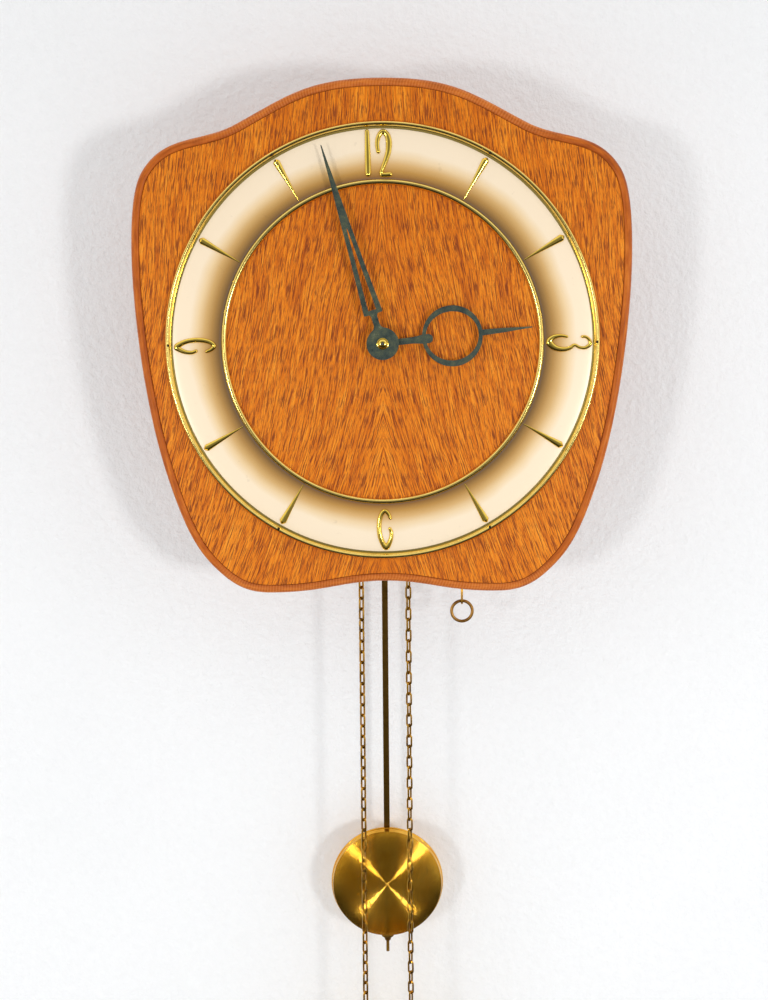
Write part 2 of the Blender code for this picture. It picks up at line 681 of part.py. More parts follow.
def places():
    """Where each arbor stands in the dial's plane, from the wheels that mesh there."""
    great_step = (GREAT_TEETH + GREAT_LEAVES) / 2 * GREAT_MODULE
    reach = math.hypot(*GREAT_AT)
    bearing = math.atan2(-GREAT_AT[1], -GREAT_AT[0])
    lean = math.acos((great_step**2 + reach**2 - SECOND_DISTANCE**2) / (2 * great_step * reach))
    second = step_from(GREAT_AT, bearing + lean, great_step)
    third_step = (CENTRE_TEETH + SMALL_LEAVES) / 2 * CENTRE_MODULE
    escape_step = (WHEEL_TEETH + SMALL_LEAVES) / 2 * WHEEL_MODULE
    rise = ESCAPE_AT[1]
    third_z = (third_step**2 - escape_step**2 + rise**2) / (2 * rise)
    pin = (-second[0], second[1])
    warning = step_from(pin, WARNING_BEARING, (WHEEL_TEETH + SMALL_LEAVES) / 2 * WHEEL_MODULE)
    return {
        "centre": (0.0, 0.0),
        "great": GREAT_AT,
        "second": second,
        "third": (-math.sqrt(third_step**2 - third_z**2), third_z),
        "escape": ESCAPE_AT,
        "pallets": PALLET_AT,
        "strike_great": (-GREAT_AT[0], GREAT_AT[1]),
        "pin": pin,
        "warning": warning,
        "fly": step_from(warning, FLY_BEARING, (WHEEL_TEETH + SMALL_LEAVES) / 2 * WARNING_MODULE),
        "hammer": HAMMER_AT,
        "motion": polar(MOTION_DISTANCE, MOTION_BEARING),
    }


def make_time_train(finishes, at, hubs):
    brass, steel = finishes["brass"], finishes["steel"]
    great = joined(wheel_blank(GREAT_TEETH, GREAT_MODULE, 0, GREAT_LAYER, GREAT_THICK, 5), arbor())
    piece("time_great_wheel", great, brass, hubs["great"])

    second_module = SECOND_DISTANCE / ((SECOND_TEETH + SECOND_LEAVES) / 2)
    phase = meshing(at["great"], GREAT_TEETH, 0, at["second"], GREAT_LEAVES)
    second = joined(
        arbor(), pinion_blank(GREAT_LEAVES, GREAT_MODULE, phase, GREAT_LAYER, 5 * MM),
        wheel_blank(SECOND_TEETH, second_module, 0, SECOND_LAYER, WHEEL_THICK),
    )
    piece("time_second_wheel", second, brass, hubs["second"])

    phase = meshing(at["second"], SECOND_TEETH, 0, at["centre"], SECOND_LEAVES)
    tip = MINUTE_HAND_FRONT - 0.5 * HAND_NUT_HIGH
    centre = joined(
        arbor(front_end=tip, front_r=ARBOR_TIP_R),
        pinion_blank(SECOND_LEAVES, second_module, phase, SECOND_LAYER, 2.8 * MM),
        wheel_blank(CENTRE_TEETH, CENTRE_MODULE, 0, CENTRE_LAYER, WHEEL_THICK),
    )
    piece("centre_wheel", centre, brass, hubs["centre"])

    phase = meshing(at["centre"], CENTRE_TEETH, 0, at["third"], SMALL_LEAVES)
    third = joined(
        arbor(), pinion_blank(SMALL_LEAVES, CENTRE_MODULE, phase, CENTRE_LAYER),
        wheel_blank(WHEEL_TEETH, WHEEL_MODULE, 0, THIRD_LAYER, WHEEL_THICK),
    )
    piece("third_wheel", third, brass, hubs["third"])

    phase = meshing(at["third"], WHEEL_TEETH, 0, at["escape"], SMALL_LEAVES)
    pitch = TURN / ESCAPE_TEETH
    nib = math.pi / 2 - PALLET_SPAN * pitch / 2
    teeth = []
    for k in range(ESCAPE_TEETH):
        teeth.append(polar(ESCAPE_R - ESCAPE_DEPTH, nib + k * pitch))
        teeth.append(polar(ESCAPE_R, nib + (k + 0.5) * pitch))
    level = BACK_PLATE_FRONT - ESCAPE_LAYER
    windows = crossings(4, 0.3 * ESCAPE_R, 0.7 * ESCAPE_R, 0.16 * ESCAPE_R)
    escape = joined(
        arbor(), pinion_blank(SMALL_LEAVES, WHEEL_MODULE, phase, THIRD_LAYER),
        slab(teeth, level - 0.5 * MM, level + 0.5 * MM, windows),
    )
    piece("escape_wheel", escape, brass, hubs["escape"])

    piece("anchor", make_anchor(level, nib), steel, hubs["pallets"])


def make_anchor(level, nib):
    """The pallets, their arbor, and the crutch that holds the pendulum rod between two pins."""
    drop = ESCAPE_AT[1] - PALLET_AT[1]
    outward = Vector(polar(1, nib))
    across = Vector((outward.y, -outward.x))
    wheel = Vector((0, drop))
    tip = wheel + outward * (ESCAPE_R + GAP)
    root = wheel + outward * (ESCAPE_R + 3.5 * MM)
    right = [
        tuple(tip - across * NIB_WIDE / 2), tuple(tip + across * NIB_WIDE / 2),
        tuple(root + across * 0.9 * MM), (8 * MM, -0.5 * MM),
    ]
    inner = [(0.0, -3 * MM), tuple(root - across * 0.9 * MM)]
    outline = inner + right + [(0.0, 3.5 * MM)] + [(-x, z) for x, z in reversed(right)] + [
        (-inner[1][0], inner[1][1])
    ]
    pallets = slab(outline, level - 0.8 * MM, level + 0.8 * MM)
    crutch_y = BACK_PLATE_BACK + CRUTCH_LAYER
    stem = 31 * MM
    grip = ROD_WIDE / 2 + GAP + 0.5 * MM
    arm = slab(box_outline(-1.1 * MM, 1.1 * MM, -stem, 1.1 * MM), crutch_y - 0.6 * MM, crutch_y + 0.6 * MM)
    bar = slab(box_outline(-grip - 0.8 * MM, grip + 0.8 * MM, -stem - 1 * MM, -stem + 1.2 * MM),
               crutch_y - 0.7 * MM, crutch_y + 0.7 * MM)
    pins = [rod((x, crutch_y, -stem), (x, PENDULUM_Y + 1.5 * MM, -stem), 0.5 * MM, 6) for x in (-grip, grip)]
    shaft = arbor(back_end=crutch_y, back_r=ARBOR_TIP_R)
    return joined(shaft, pallets, arm, bar, *pins)


def make_motion_work(finishes, at, hubs):
    brass = finishes["brass"]
    cannon_module = MOTION_DISTANCE / ((CANNON_LEAVES + MINUTE_WHEEL_TEETH) / 2)
    hour_module = MOTION_DISTANCE / ((MINUTE_PINION_LEAVES + HOUR_WHEEL_TEETH) / 2)
    first = FRONT_PLATE_FRONT - 2.5 * MM
    second = FRONT_PLATE_FRONT - 8.75 * MM
    bore = ARBOR_TIP_R + PIVOT_FIT
    end = MINUTE_HAND_FRONT
    start = FRONT_PLATE_FRONT - 1 * MM
    pipe = turned([(bore, start), (CANNON_R, start), (CANNON_R, end), (bore, end)], 16)
    gear = slab(
        leaves(CANNON_LEAVES, cannon_module, 0), first - 1.5 * MM, first + 1.4 * MM, [circle(1.6 * MM, 12)],
    )
    piece("cannon_pinion", joined(pipe, gear), finishes["steel"], hubs["centre"])

    phase = meshing(at["centre"], CANNON_LEAVES, 0, at["motion"], MINUTE_WHEEL_TEETH)
    stud_hole = PIVOT_R + PIVOT_FIT
    radius = MINUTE_WHEEL_TEETH * cannon_module / 2
    wheel = slab(
        toothed(MINUTE_WHEEL_TEETH, cannon_module, phase), first - 0.75 * MM, first + 0.75 * MM,
        crossings(3, 0.4 * radius, 0.8 * radius, 0.16 * radius) + [circle(stud_hole, 10)],
    )
    pinion = slab(
        leaves(MINUTE_PINION_LEAVES, hour_module, 0), second - 1.5 * MM, first + 0.6 * MM,
        [circle(stud_hole, 10)],
    )
    piece("minute_wheel", joined(wheel, pinion), brass, hubs["motion"])

    phase = meshing(at["motion"], MINUTE_PINION_LEAVES, 0, at["centre"], HOUR_WHEEL_TEETH)
    inner = CANNON_R + HAND_FIT
    outer = inner + PIPE_WALL
    gear = slab(
        toothed(HOUR_WHEEL_TEETH, hour_module, phase), second - 0.75 * MM, second + 0.75 * MM,
        [circle(inner + 0.4 * MM, 16)],
    )
    tube = turned([(inner, second + 0.9 * MM), (outer, second + 0.9 * MM), (outer, HOUR_HAND_FRONT),
                   (inner, HOUR_HAND_FRONT)], 16)
    piece("hour_wheel", joined(tube, gear), brass, hubs["hour"])


def make_strike_train(finishes, at, hubs):
    brass, steel = finishes["brass"], finishes["steel"]
    great = joined(wheel_blank(GREAT_TEETH, GREAT_MODULE, 0, GREAT_LAYER, GREAT_THICK, 5), arbor())
    piece("strike_great_wheel", great, brass, hubs["strike_great"])

    phase = meshing(at["strike_great"], GREAT_TEETH, 0, at["pin"], GREAT_LEAVES)
    face = BACK_PLATE_FRONT - PIN_LAYER + WHEEL_THICK / 2
    pins = []
    for k in range(PIN_COUNT):
        x, z = polar(PIN_CIRCLE_R, TURN * (k + 0.5) / PIN_COUNT)
        pins.append(rod((x, face - 0.4 * MM, z), (x, face + 2 * MM, z), PIN_R, 6))
    pin_wheel = joined(
        arbor(), pinion_blank(GREAT_LEAVES, GREAT_MODULE, phase, GREAT_LAYER, 5 * MM),
        pin_disc(), *pins,
    )
    piece("pin_wheel", pin_wheel, brass, hubs["pin"])

    phase = meshing(at["pin"], WHEEL_TEETH, 0, at["warning"], SMALL_LEAVES)
    warning = joined(
        arbor(), pinion_blank(SMALL_LEAVES, WHEEL_MODULE, phase, PIN_LAYER),
        wheel_blank(WHEEL_TEETH, WARNING_MODULE, 0, WARNING_LAYER, WHEEL_THICK),
    )
    piece("warning_wheel", warning, brass, hubs["warning"])

    phase = meshing(at["warning"], WHEEL_TEETH, 0, at["fly"], SMALL_LEAVES)
    near = BACK_PLATE_FRONT - WARNING_LAYER + 2 * MM
    vane = slab(box_outline(-FLY_R, FLY_R, -0.35 * MM, 0.35 * MM), near, near + FLY_LONG)
    fly = joined(arbor(), pinion_blank(SMALL_LEAVES, WARNING_MODULE, phase, WARNING_LAYER), vane)
    piece("fly", fly, steel, hubs["fly"])

    piece("hammer", make_hammer(at), steel, hubs["hammer"])


def pin_disc():
    """The strike train's second wheel, with a full web that carries the lifting pins."""
    level = BACK_PLATE_FRONT - PIN_LAYER
    radius = WHEEL_TEETH * WHEEL_MODULE / 2
    windows = crossings(4, 0.3 * radius, 0.6 * radius, 0.16 * radius)
    half = WHEEL_THICK / 2
    return slab(toothed(WHEEL_TEETH, WHEEL_MODULE, 0), level - half, level + half, windows)


def make_hammer(at):
    """The hammer: its arbor, a tail beside the lifting pins, and an arm with a head behind the plate."""
    x, z = at["pin"][0] - HAMMER_AT[0], at["pin"][1] - HAMMER_AT[1]
    tail = math.hypot(x, z) - PIN_CIRCLE_R - PIN_R - GAP
    bearing = math.atan2(z, x)
    outline = [polar(tail, bearing - 0.04), polar(tail, bearing + 0.04), polar(2.4 * MM, bearing + 1.2),
               polar(2.4 * MM, bearing + math.pi), polar(2.4 * MM, bearing - 1.2)]
    level = BACK_PLATE_FRONT - PIN_LAYER + WHEEL_THICK / 2 + 1 * MM
    lever = slab(outline, level - 0.6 * MM, level + 0.6 * MM)
    strike_y = BACK_PLATE_BACK + GONG_LAYER
    half = HAMMER_ARM_WIDE / 2
    arm = slab(box_outline(-half, half, -2 * MM, HAMMER_ARM), strike_y - 1.2 * MM, strike_y + 1.2 * MM)
    end = HAMMER_HEAD_LONG / 2
    head = rod((-end, strike_y, HAMMER_ARM), (end, strike_y, HAMMER_ARM), HAMMER_HEAD_R, 14)
    shaft = arbor(back_end=strike_y + 0.6 * MM, back_r=ARBOR_TIP_R)
    return joined(shaft, lever, arm, head)


def make_plates(finishes, at):
    brass = finishes["brass"]
    low, high = SEAT_TOP + GAP, PLATE_RISE
    outline = box_outline(-PLATE_HALF, PLATE_HALF, low, high)
    pivots = ["great", "second", "third", "escape", "strike_great", "pin", "warning", "fly"]
    hole = PIVOT_R + PIVOT_FIT
    wide = ARBOR_TIP_R + PIVOT_FIT
    front_holes = [circle(hole, 8, at[name]) for name in [*pivots, "pallets", "hammer"]]
    front_holes.append(circle(wide, 8, at["centre"]))
    back_holes = [circle(hole, 8, at[name]) for name in [*pivots, "centre"]]
    back_holes += [circle(wide, 8, at[name]) for name in ("pallets", "hammer")]
    stud_x, stud_z = at["motion"]
    stud_end = FRONT_PLATE_FRONT - MOTION_SPACE + 1.2 * MM
    stud = rod((stud_x, FRONT_PLATE_FRONT + 0.6 * MM, stud_z), (stud_x, stud_end, stud_z), PIVOT_R)
    front = slab(outline, FRONT_PLATE_FRONT, FRONT_PLATE_BACK, front_holes)
    piece("front_plate", joined(front, stud), brass)
    piece("back_plate", slab(outline, BACK_PLATE_FRONT, BACK_PLATE_BACK, back_holes), brass)
    names = ("pillar_upper_left", "pillar_upper_right", "pillar_lower_left", "pillar_lower_right")
    spots = [(-UPPER_PILLAR_AT[0], UPPER_PILLAR_AT[1]), UPPER_PILLAR_AT,
             (-LOWER_PILLAR_AT[0], LOWER_PILLAR_AT[1]), LOWER_PILLAR_AT]
    start, end = FRONT_PLATE_BACK + GAP, BACK_PLATE_FRONT - GAP
    waist = 0.7 * PILLAR_R
    for name, spot in zip(names, spots):
        profile = [
            (0, start), (PILLAR_R, start), (PILLAR_R, start + 3 * MM), (waist, start + 4.5 * MM),
            (waist, end - 4.5 * MM), (PILLAR_R, end - 3 * MM), (PILLAR_R, end), (0, end),
        ]
        piece(name, turned(profile, 12, solid=True), brass, at=spot)


def make_gong(finishes):
    gong_x = HAMMER_AT[0] + HAMMER_HEAD_LONG / 2 + HAMMER_DROP + GONG_R
    gong_y = BACK_PLATE_BACK + GONG_LAYER
    half = GONG_BLOCK_SIDE / 2
    top = GONG_BLOCK_Z + GONG_BLOCK_HIGH
    stand = block(gong_x - half, gong_x + half, gong_y - 5 * MM, PANEL_FRONT - GAP, GONG_BLOCK_Z, top)
    piece("gong_block", stand, finishes["iron"])
    high = GONG_BLOCK_Z - GAP
    bar = rod((gong_x, gong_y, high - GONG_LONG), (gong_x, gong_y, high), GONG_R, 10)
    piece("gong_rod", bar, finishes["steel"])


# ---- the pendulum ---------------------------------------------------------------------------
def make_pendulum(finishes, hub, slide):
    """Each height is taken from the dial's centre, and the meshes are drawn about the pivot."""
    steel, brass = finishes["steel"], finishes["brass"]
    pivot = PALLET_AT[1]
    front, back = PENDULUM_Y - SPRING_DEEP / 2, PENDULUM_Y + SPRING_DEEP / 2
    cheek_top = pivot + 8.4 * MM
    cheek_low = pivot + 1.5 * MM
    root = BACK_PLATE_BACK + GAP
    foot = slab(box_outline(-8 * MM, 8 * MM, pivot - 4 * MM, pivot + 14 * MM), root, root + 1.7 * MM,
                [circle(2.2 * MM, 10, PALLET_AT)])
    cheeks = [
        block(side * 2.7 * MM - 1.3 * MM, side * 2.7 * MM + 1.3 * MM, root + 1.5 * MM, back + 2 * MM,
              cheek_low + 1 * MM, cheek_top)
        for side in (-1, 1)
    ]
    piece("suspension_cock", joined(foot, *cheeks), brass)

    grip = block(-0.6 * MM, 0.6 * MM, front, back, 1 * MM, 9.8 * MM)
    leaf = block(-0.25 * MM, 0.25 * MM, front + 0.5 * MM, back - 0.5 * MM, -10.5 * MM, 1.2 * MM)
    shoe = block(-1.5 * MM, 1.5 * MM, front, back, ROD_TOP - pivot + GAP, -10 * MM)
    pin = rod((-4 * MM, PENDULUM_Y, 9.3 * MM), (4 * MM, PENDULUM_Y, 9.3 * MM), 0.6 * MM, 8)
    piece("suspension_spring", joined(grip, leaf, shoe, pin), steel, hub)

    bob_low = BOB_Z - BOB_R
    flat = block(-ROD_WIDE / 2, ROD_WIDE / 2, PENDULUM_Y - ROD_THICK / 2, PENDULUM_Y + ROD_THICK / 2,
                 bob_low + 4 * MM - pivot, ROD_TOP - pivot)
    stub = rod((0, PENDULUM_Y, STUB_END - pivot), (0, PENDULUM_Y, bob_low + 6 * MM - pivot), STUB_R, 10)
    piece("pendulum_rod", joined(flat, stub), finishes["rod"], hub)

    back = PENDULUM_Y - STUB_R - GAP
    front = back - BOB_THICK
    lens = [(0, front)]
    for share in (0.27, 0.52, 0.76, 0.94):
        lens.append((share * BOB_R, front + 0.8 * BOB_THICK * share**2))
    lens += [(BOB_R, back - 1.2 * MM), (BOB_R, back - 0.2 * MM), (0.99 * BOB_R, back), (0, back)]
    piece("pendulum_bob", turned(lens, 40, solid=True), brass, slide)

    inner = STUB_R + PIVOT_FIT
    top = -BOB_R - GAP
    nut = [
        (inner, top), (inner, top - RATING_NUT_HIGH), (RATING_NUT_R, top - RATING_NUT_HIGH),
        (RATING_NUT_R, top),
    ]
    piece("rating_nut", turned(nut, 16, axis="Z", centre=(0, PENDULUM_Y, 0)), brass, slide)


# ---- chains, rings and weights --------------------------------------------------------------
def chain_tube(points):
    """A closed envelope of the chain, round its links."""
    curve = bpy.data.curves.new("chain", "CURVE")
    curve.dimensions = "3D"
    curve.bevel_depth = CHAIN_R
    curve.bevel_resolution = 2
    curve.use_fill_caps = True
    spline = curve.splines.new("POLY")
    spline.points.add(len(points) - 1)
    for point, (x, z) in zip(spline.points, points):
        point.co = (x, CHAIN_Y, z, 1)
    drawn = bpy.data.objects.new("chain", curve)
    tube = bpy.data.meshes.new_from_object(drawn)
    bm = bmesh.new()
    bm.from_mesh(tube)
    bpy.data.objects.remove(drawn)
    bpy.data.curves.remove(curve)
    bpy.data.meshes.remove(tube)
    return clean(bm)


def make_chain(finishes, side, great, weight_slide, ring_slide, sprocket_hub):
    """One chain of the movement: side is "time" or "strike"."""
    brass = finishes["brass"]
    inward = math.copysign(1, -great[0])
    inner_x, outer_x = great[0] + inward * SPROCKET_R, great[0] - inward * SPROCKET_R
    over = [
        (great[0] + inward * SPROCKET_R * math.cos(a), great[1] + SPROCKET_R * math.sin(a))
        for a in (math.pi * k / 16 for k in range(17))
    ]
    upper = chain_tube([(inner_x, CHAIN_JOINT_Z), *over, (outer_x, TAIL_TOP_Z)])
    piece(f"{side}_chain_upper", upper, brass)

    hook_top = WEIGHT_TOP + HOOK_HIGH
    lower = chain_tube([(0, CHAIN_JOINT_Z - GAP - hook_top), (0, GAP)])
    piece(f"{side}_chain_lower", lower, brass, weight_slide)

    chamfer = 1.5 * MM
    low, high = WEIGHT_TOP - WEIGHT_LONG - hook_top, WEIGHT_TOP - hook_top
    body = [
        (0, high), (WEIGHT_R - chamfer, high), (WEIGHT_R, high - chamfer), (WEIGHT_R, low + chamfer),
        (WEIGHT_R - chamfer, low), (0, low),
    ]
    shell = turned(body, 20, axis="Z", centre=(0, CHAIN_Y, 0), solid=True)
    stem = rod((0, CHAIN_Y, high - 2 * MM), (0, CHAIN_Y, HOOK_WIRE_R - 2 * EYE_R), STEM_R)
    eye = turned(hoop(EYE_R - HOOK_WIRE_R, HOOK_WIRE_R, 6), 14, centre=(0, 0, -EYE_R))
    piece(f"{side}_weight", joined(shell, stem, eye), brass, weight_slide)

    ring_z = TIME_RING_Z if side == "time" else STRIKE_RING_Z
    tail = chain_tube([(0, TAIL_TOP_Z - GAP - ring_z), (0, RING_R + GAP)])
    piece(f"{side}_chain_tail", tail, brass, ring_slide)
    piece(f"{side}_pull_ring", turned(hoop(RING_R - RING_WIRE_R, RING_WIRE_R, 6), 16), brass, ring_slide)

    half = CHAIN_R + 0.4 * MM
    flange = SPROCKET_R + SPROCKET_RIM
    groove = SPROCKET_R - CHAIN_R - GAP
    bore = ARBOR_R + PIVOT_FIT
    wide = half + SPROCKET_FLANGE
    spool = [
        (bore, CHAIN_Y + wide), (flange, CHAIN_Y + wide), (flange, CHAIN_Y + half), (groove, CHAIN_Y + half),
        (groove, CHAIN_Y - half), (flange, CHAIN_Y - half), (flange, CHAIN_Y - wide), (bore, CHAIN_Y - wide),
    ]
    piece(f"{side}_sprocket", turned(spool, 24), brass, sprocket_hub)


def hoop(middle, wire, sides):
    """A hoop's profile, round about its wire in the plane of the chain."""
    return [
        (middle + wire * math.cos(TURN * k / sides), CHAIN_Y + wire * math.sin(TURN * k / sides))
        for k in range(sides)
    ]


# ---- the whole clock ------------------------------------------------------------------------
def main():
    for old in list(bpy.data.objects):
        bpy.data.objects.remove(old)
    finishes = {
        "veneer": material("veneer", (0.55, 0.23, 0.07), 0.38, 0),
        "lipping": material("lipping", (0.34, 0.13, 0.05), 0.42, 0),
        "case": material("case_wood", (0.40, 0.19, 0.08), 0.5, 0),
        "panel": material("panel_board", (0.36, 0.24, 0.14), 0.7, 0),
        "dial": material("lacquered_brass", (0.80, 0.66, 0.40), 0.35, 0.6),
        "brass": material("polished_brass", (0.83, 0.62, 0.26), 0.22, 1),
        "hands": material("patinated_metal", (0.10, 0.13, 0.12), 0.45, 0.8),
        "steel": material("steel", (0.55, 0.55, 0.55), 0.3, 1),
        "iron": material("black_iron", (0.05, 0.05, 0.05), 0.6, 0.7),
        "rod": material("dull_brass", (0.35, 0.30, 0.16), 0.45, 0.9),
    }
    at = places()
    hubs = {name: pivot_empty(f"{name}_axis", x, 0, z) for name, (x, z) in at.items()}
    hubs["hour"] = pivot_empty("hour_axis", 0, 0, 0)
    make_board(finishes)
    make_case(finishes)
    make_dial(finishes)
    make_plates(finishes, at)
    make_hands(finishes, hubs["centre"], hubs["hour"])
    make_time_train(finishes, at, hubs)
    make_motion_work(finishes, at, hubs)
    make_strike_train(finishes, at, hubs)
    make_gong(finishes)
    pendulum = pivot_empty("pendulum_axis", 0, 0, PALLET_AT[1])
    rating = pivot_empty("rating_slide", 0, 0, BOB_Z)
    make_pendulum(finishes, pendulum, rating)
    for side, hub in (("time", "great"), ("strike", "strike_great")):
        great = at[hub]
        inward = math.copysign(1, -great[0])
        ring_z = TIME_RING_Z if side == "time" else STRIKE_RING_Z
        hook_top = WEIGHT_TOP + HOOK_HIGH
        weight = pivot_empty(f"{side}_weight_slide", great[0] + inward * SPROCKET_R, 0, hook_top)
        ring = pivot_empty(f"{side}_ring_slide", great[0] - inward * SPROCKET_R, 0, ring_z)
        make_chain(finishes, side, great, weight, ring, hubs[hub])


main()
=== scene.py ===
# %% [markdown]
# # A wall clock with a pendulum and two chains
# The clock's working model comes in as a fixed frame of plain pieces, each on a moving body.
# This lesson builds the looks round that frame: the wood, the lacquered dial, the hands, real
# chain links, and a finish for every piece of the movement. All sizes are in metres, +Z is up,
# and the front faces -Y.

# %% Load the frame
import json
import math

import bmesh
import bpy
from mathutils import Matrix, Vector

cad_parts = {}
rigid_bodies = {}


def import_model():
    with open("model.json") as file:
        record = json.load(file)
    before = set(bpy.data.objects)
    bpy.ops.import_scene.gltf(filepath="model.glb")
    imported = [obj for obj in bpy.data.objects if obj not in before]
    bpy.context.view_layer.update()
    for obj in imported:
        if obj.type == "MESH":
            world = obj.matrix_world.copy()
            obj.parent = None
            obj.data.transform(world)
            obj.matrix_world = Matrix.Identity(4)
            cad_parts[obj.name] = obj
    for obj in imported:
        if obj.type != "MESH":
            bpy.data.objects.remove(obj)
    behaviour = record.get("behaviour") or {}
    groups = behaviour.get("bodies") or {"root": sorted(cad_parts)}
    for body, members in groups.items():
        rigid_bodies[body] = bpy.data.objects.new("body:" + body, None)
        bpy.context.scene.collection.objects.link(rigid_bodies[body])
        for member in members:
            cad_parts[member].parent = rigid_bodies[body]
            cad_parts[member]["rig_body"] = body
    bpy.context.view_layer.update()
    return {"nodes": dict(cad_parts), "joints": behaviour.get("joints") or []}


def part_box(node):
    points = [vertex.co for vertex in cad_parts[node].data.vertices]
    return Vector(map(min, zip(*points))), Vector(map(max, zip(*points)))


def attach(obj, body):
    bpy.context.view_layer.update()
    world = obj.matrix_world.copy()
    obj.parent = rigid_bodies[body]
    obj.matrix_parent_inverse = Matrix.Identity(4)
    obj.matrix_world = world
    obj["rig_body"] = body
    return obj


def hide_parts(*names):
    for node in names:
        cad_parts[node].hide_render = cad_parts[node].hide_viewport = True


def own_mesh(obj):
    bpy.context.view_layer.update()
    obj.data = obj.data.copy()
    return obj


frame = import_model()

# %% [markdown]
# ## The camera
# A clock is seen from about eye height, a metre away, looking a few degrees down. The camera comes
# first, so that every later choice can be judged in its view. A 49 mm lens keeps the round dial
# round, where a wide lens would stretch it. It is held by hand, so it leans by half a degree.

# %% Camera
MM = 0.001
TURN = 2 * math.pi
camera_data = bpy.data.cameras.new("camera")
camera_data.lens = 49
camera = bpy.data.objects.new("camera", camera_data)
camera.location = (0.0, -1060 * MM, -67.8 * MM)
tilt, roll = Matrix.Rotation(math.radians(90 - 6.8), 3, "X"), Matrix.Rotation(math.radians(-0.5), 3, "Z")
camera.rotation_euler = (tilt @ roll).to_euler()
bpy.context.scene.collection.objects.link(camera)
bpy.context.scene.camera = camera
print("camera at", [round(v, 4) for v in camera.location])

# %% [markdown]
# ## Places read from the frame
# Every piece of the looks takes its place from a piece of the frame, so nothing is fitted by eye.
# The dial's centre is the middle of the outer bezel, and the planes are the faces of the pieces.

# %% Places and planes
dial_low, dial_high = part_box("outer_bezel")
DIAL_X, DIAL_Z = (dial_low.x + dial_high.x) / 2, (dial_low.z + dial_high.z) / 2
BOARD_FRONT, BOARD_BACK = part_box("front_board")[0].y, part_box("front_board")[1].y
DIAL_BACK = dial_high.y
CHAIN_Y = (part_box("time_pull_ring")[0].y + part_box("time_pull_ring")[1].y) / 2
PENDULUM_Y = (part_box("pendulum_rod")[0].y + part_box("pendulum_rod")[1].y) / 2
print("dial centre", round(DIAL_Z, 4), "board front", round(BOARD_FRONT, 4), "chains", round(CHAIN_Y, 4))

# %% [markdown]
# ## Small modelling tools
# Most pieces of a clock are cut from sheet or turned on a lathe, so two tools make nearly all of
# them: one cuts a flat outline with holes, and one spins a profile about an axis. A third turns any
# mesh into a finished piece that rides on its body and stands for its piece of the frame.

# %% Modelling tools
def polar(radius, angle, centre=(0.0, 0.0)):
    """A point in the dial's plane, its angle counted from +X towards +Z."""
    return centre[0] + radius * math.cos(angle), centre[1] + radius * math.sin(angle)


def circle(radius, steps=32, centre=(0.0, 0.0)):
    return [polar(radius, TURN * k / steps, centre) for k in range(steps)]


def clockwise(points, angle):
    """Points drawn pointing up, turned clockwise about the dial's centre."""
    c, s = math.cos(angle), math.sin(angle)
    return [(x * c + z * s, z * c - x * s) for x, z in points]


def mirrored(points):
    """A half outline on the right and its mirror image, as one loop."""
    return points + [(-x, z) for x, z in reversed(points)]


def in_mm(points):
    return [(x * MM, z * MM) for x, z in points]


def mesh_of(bm, tidy=1e-6):
    bmesh.ops.remove_doubles(bm, verts=bm.verts, dist=tidy)
    bmesh.ops.recalc_face_normals(bm, faces=bm.faces)
    mesh = bpy.data.meshes.new("shape")
    bm.to_mesh(mesh)
    bm.free()
    return mesh


def sheet_cut(outline, front, back, holes=()):
    """A flat piece: an outline in x and z with its holes, between two planes in y."""
    curve = bpy.data.curves.new("outline", "CURVE")
    curve.dimensions = "2D"
    curve.fill_mode = "BOTH"
    curve.extrude = (back - front) / 2
    for loop in (outline, *holes):
        spline = curve.splines.new("POLY")
        spline.points.add(len(loop) - 1)
        for point, (x, z) in zip(spline.points, loop):
            point.co = (x, z, 0, 1)
        spline.use_cyclic_u = True
    drawn = bpy.data.objects.new("outline", curve)
    bm = bmesh.new()
    bm.from_mesh(bpy.data.meshes.new_from_object(drawn))
    upright = Matrix.Translation((0, (front + back) / 2, 0)) @ Matrix.Rotation(math.pi / 2, 4, "X")
    bmesh.ops.transform(bm, matrix=upright, verts=bm.verts)
    bpy.data.objects.remove(drawn)
    return mesh_of(bm)


def turned(profile, steps, axis=(0, 1, 0), centre=(0, 0, 0), solid=False):
    """A turned piece: a profile of (radius, place along the axis) spun about that axis."""
    bm = bmesh.new()
    direction = Vector(axis)
    corners = [bm.verts.new(Vector((r, 0, 0)) + direction * along) for r, along in profile]
    pairs = list(zip(corners, corners[1:]))
    if not solid:
        pairs.append((corners[-1], corners[0]))
    edges = [bm.edges.new(pair) for pair in pairs]
    bmesh.ops.spin(bm, geom=corners + edges, cent=(0, 0, 0), axis=direction, angle=TURN, steps=steps)
    bmesh.ops.translate(bm, verts=bm.verts, vec=centre)
    return mesh_of(bm)


def block(low, high):
    (x0, y0, z0), (x1, y1, z1) = low, high
    return sheet_cut([(x0, z0), (x1, z0), (x1, z1), (x0, z1)], y0, y1)


def together(*meshes):
    """Several meshes in one, each a closed body."""
    bm = bmesh.new()
    for mesh in meshes:
        bm.from_mesh(mesh)
    mesh = bpy.data.meshes.new("shape")
    bm.to_mesh(mesh)
    bm.free()
    return mesh


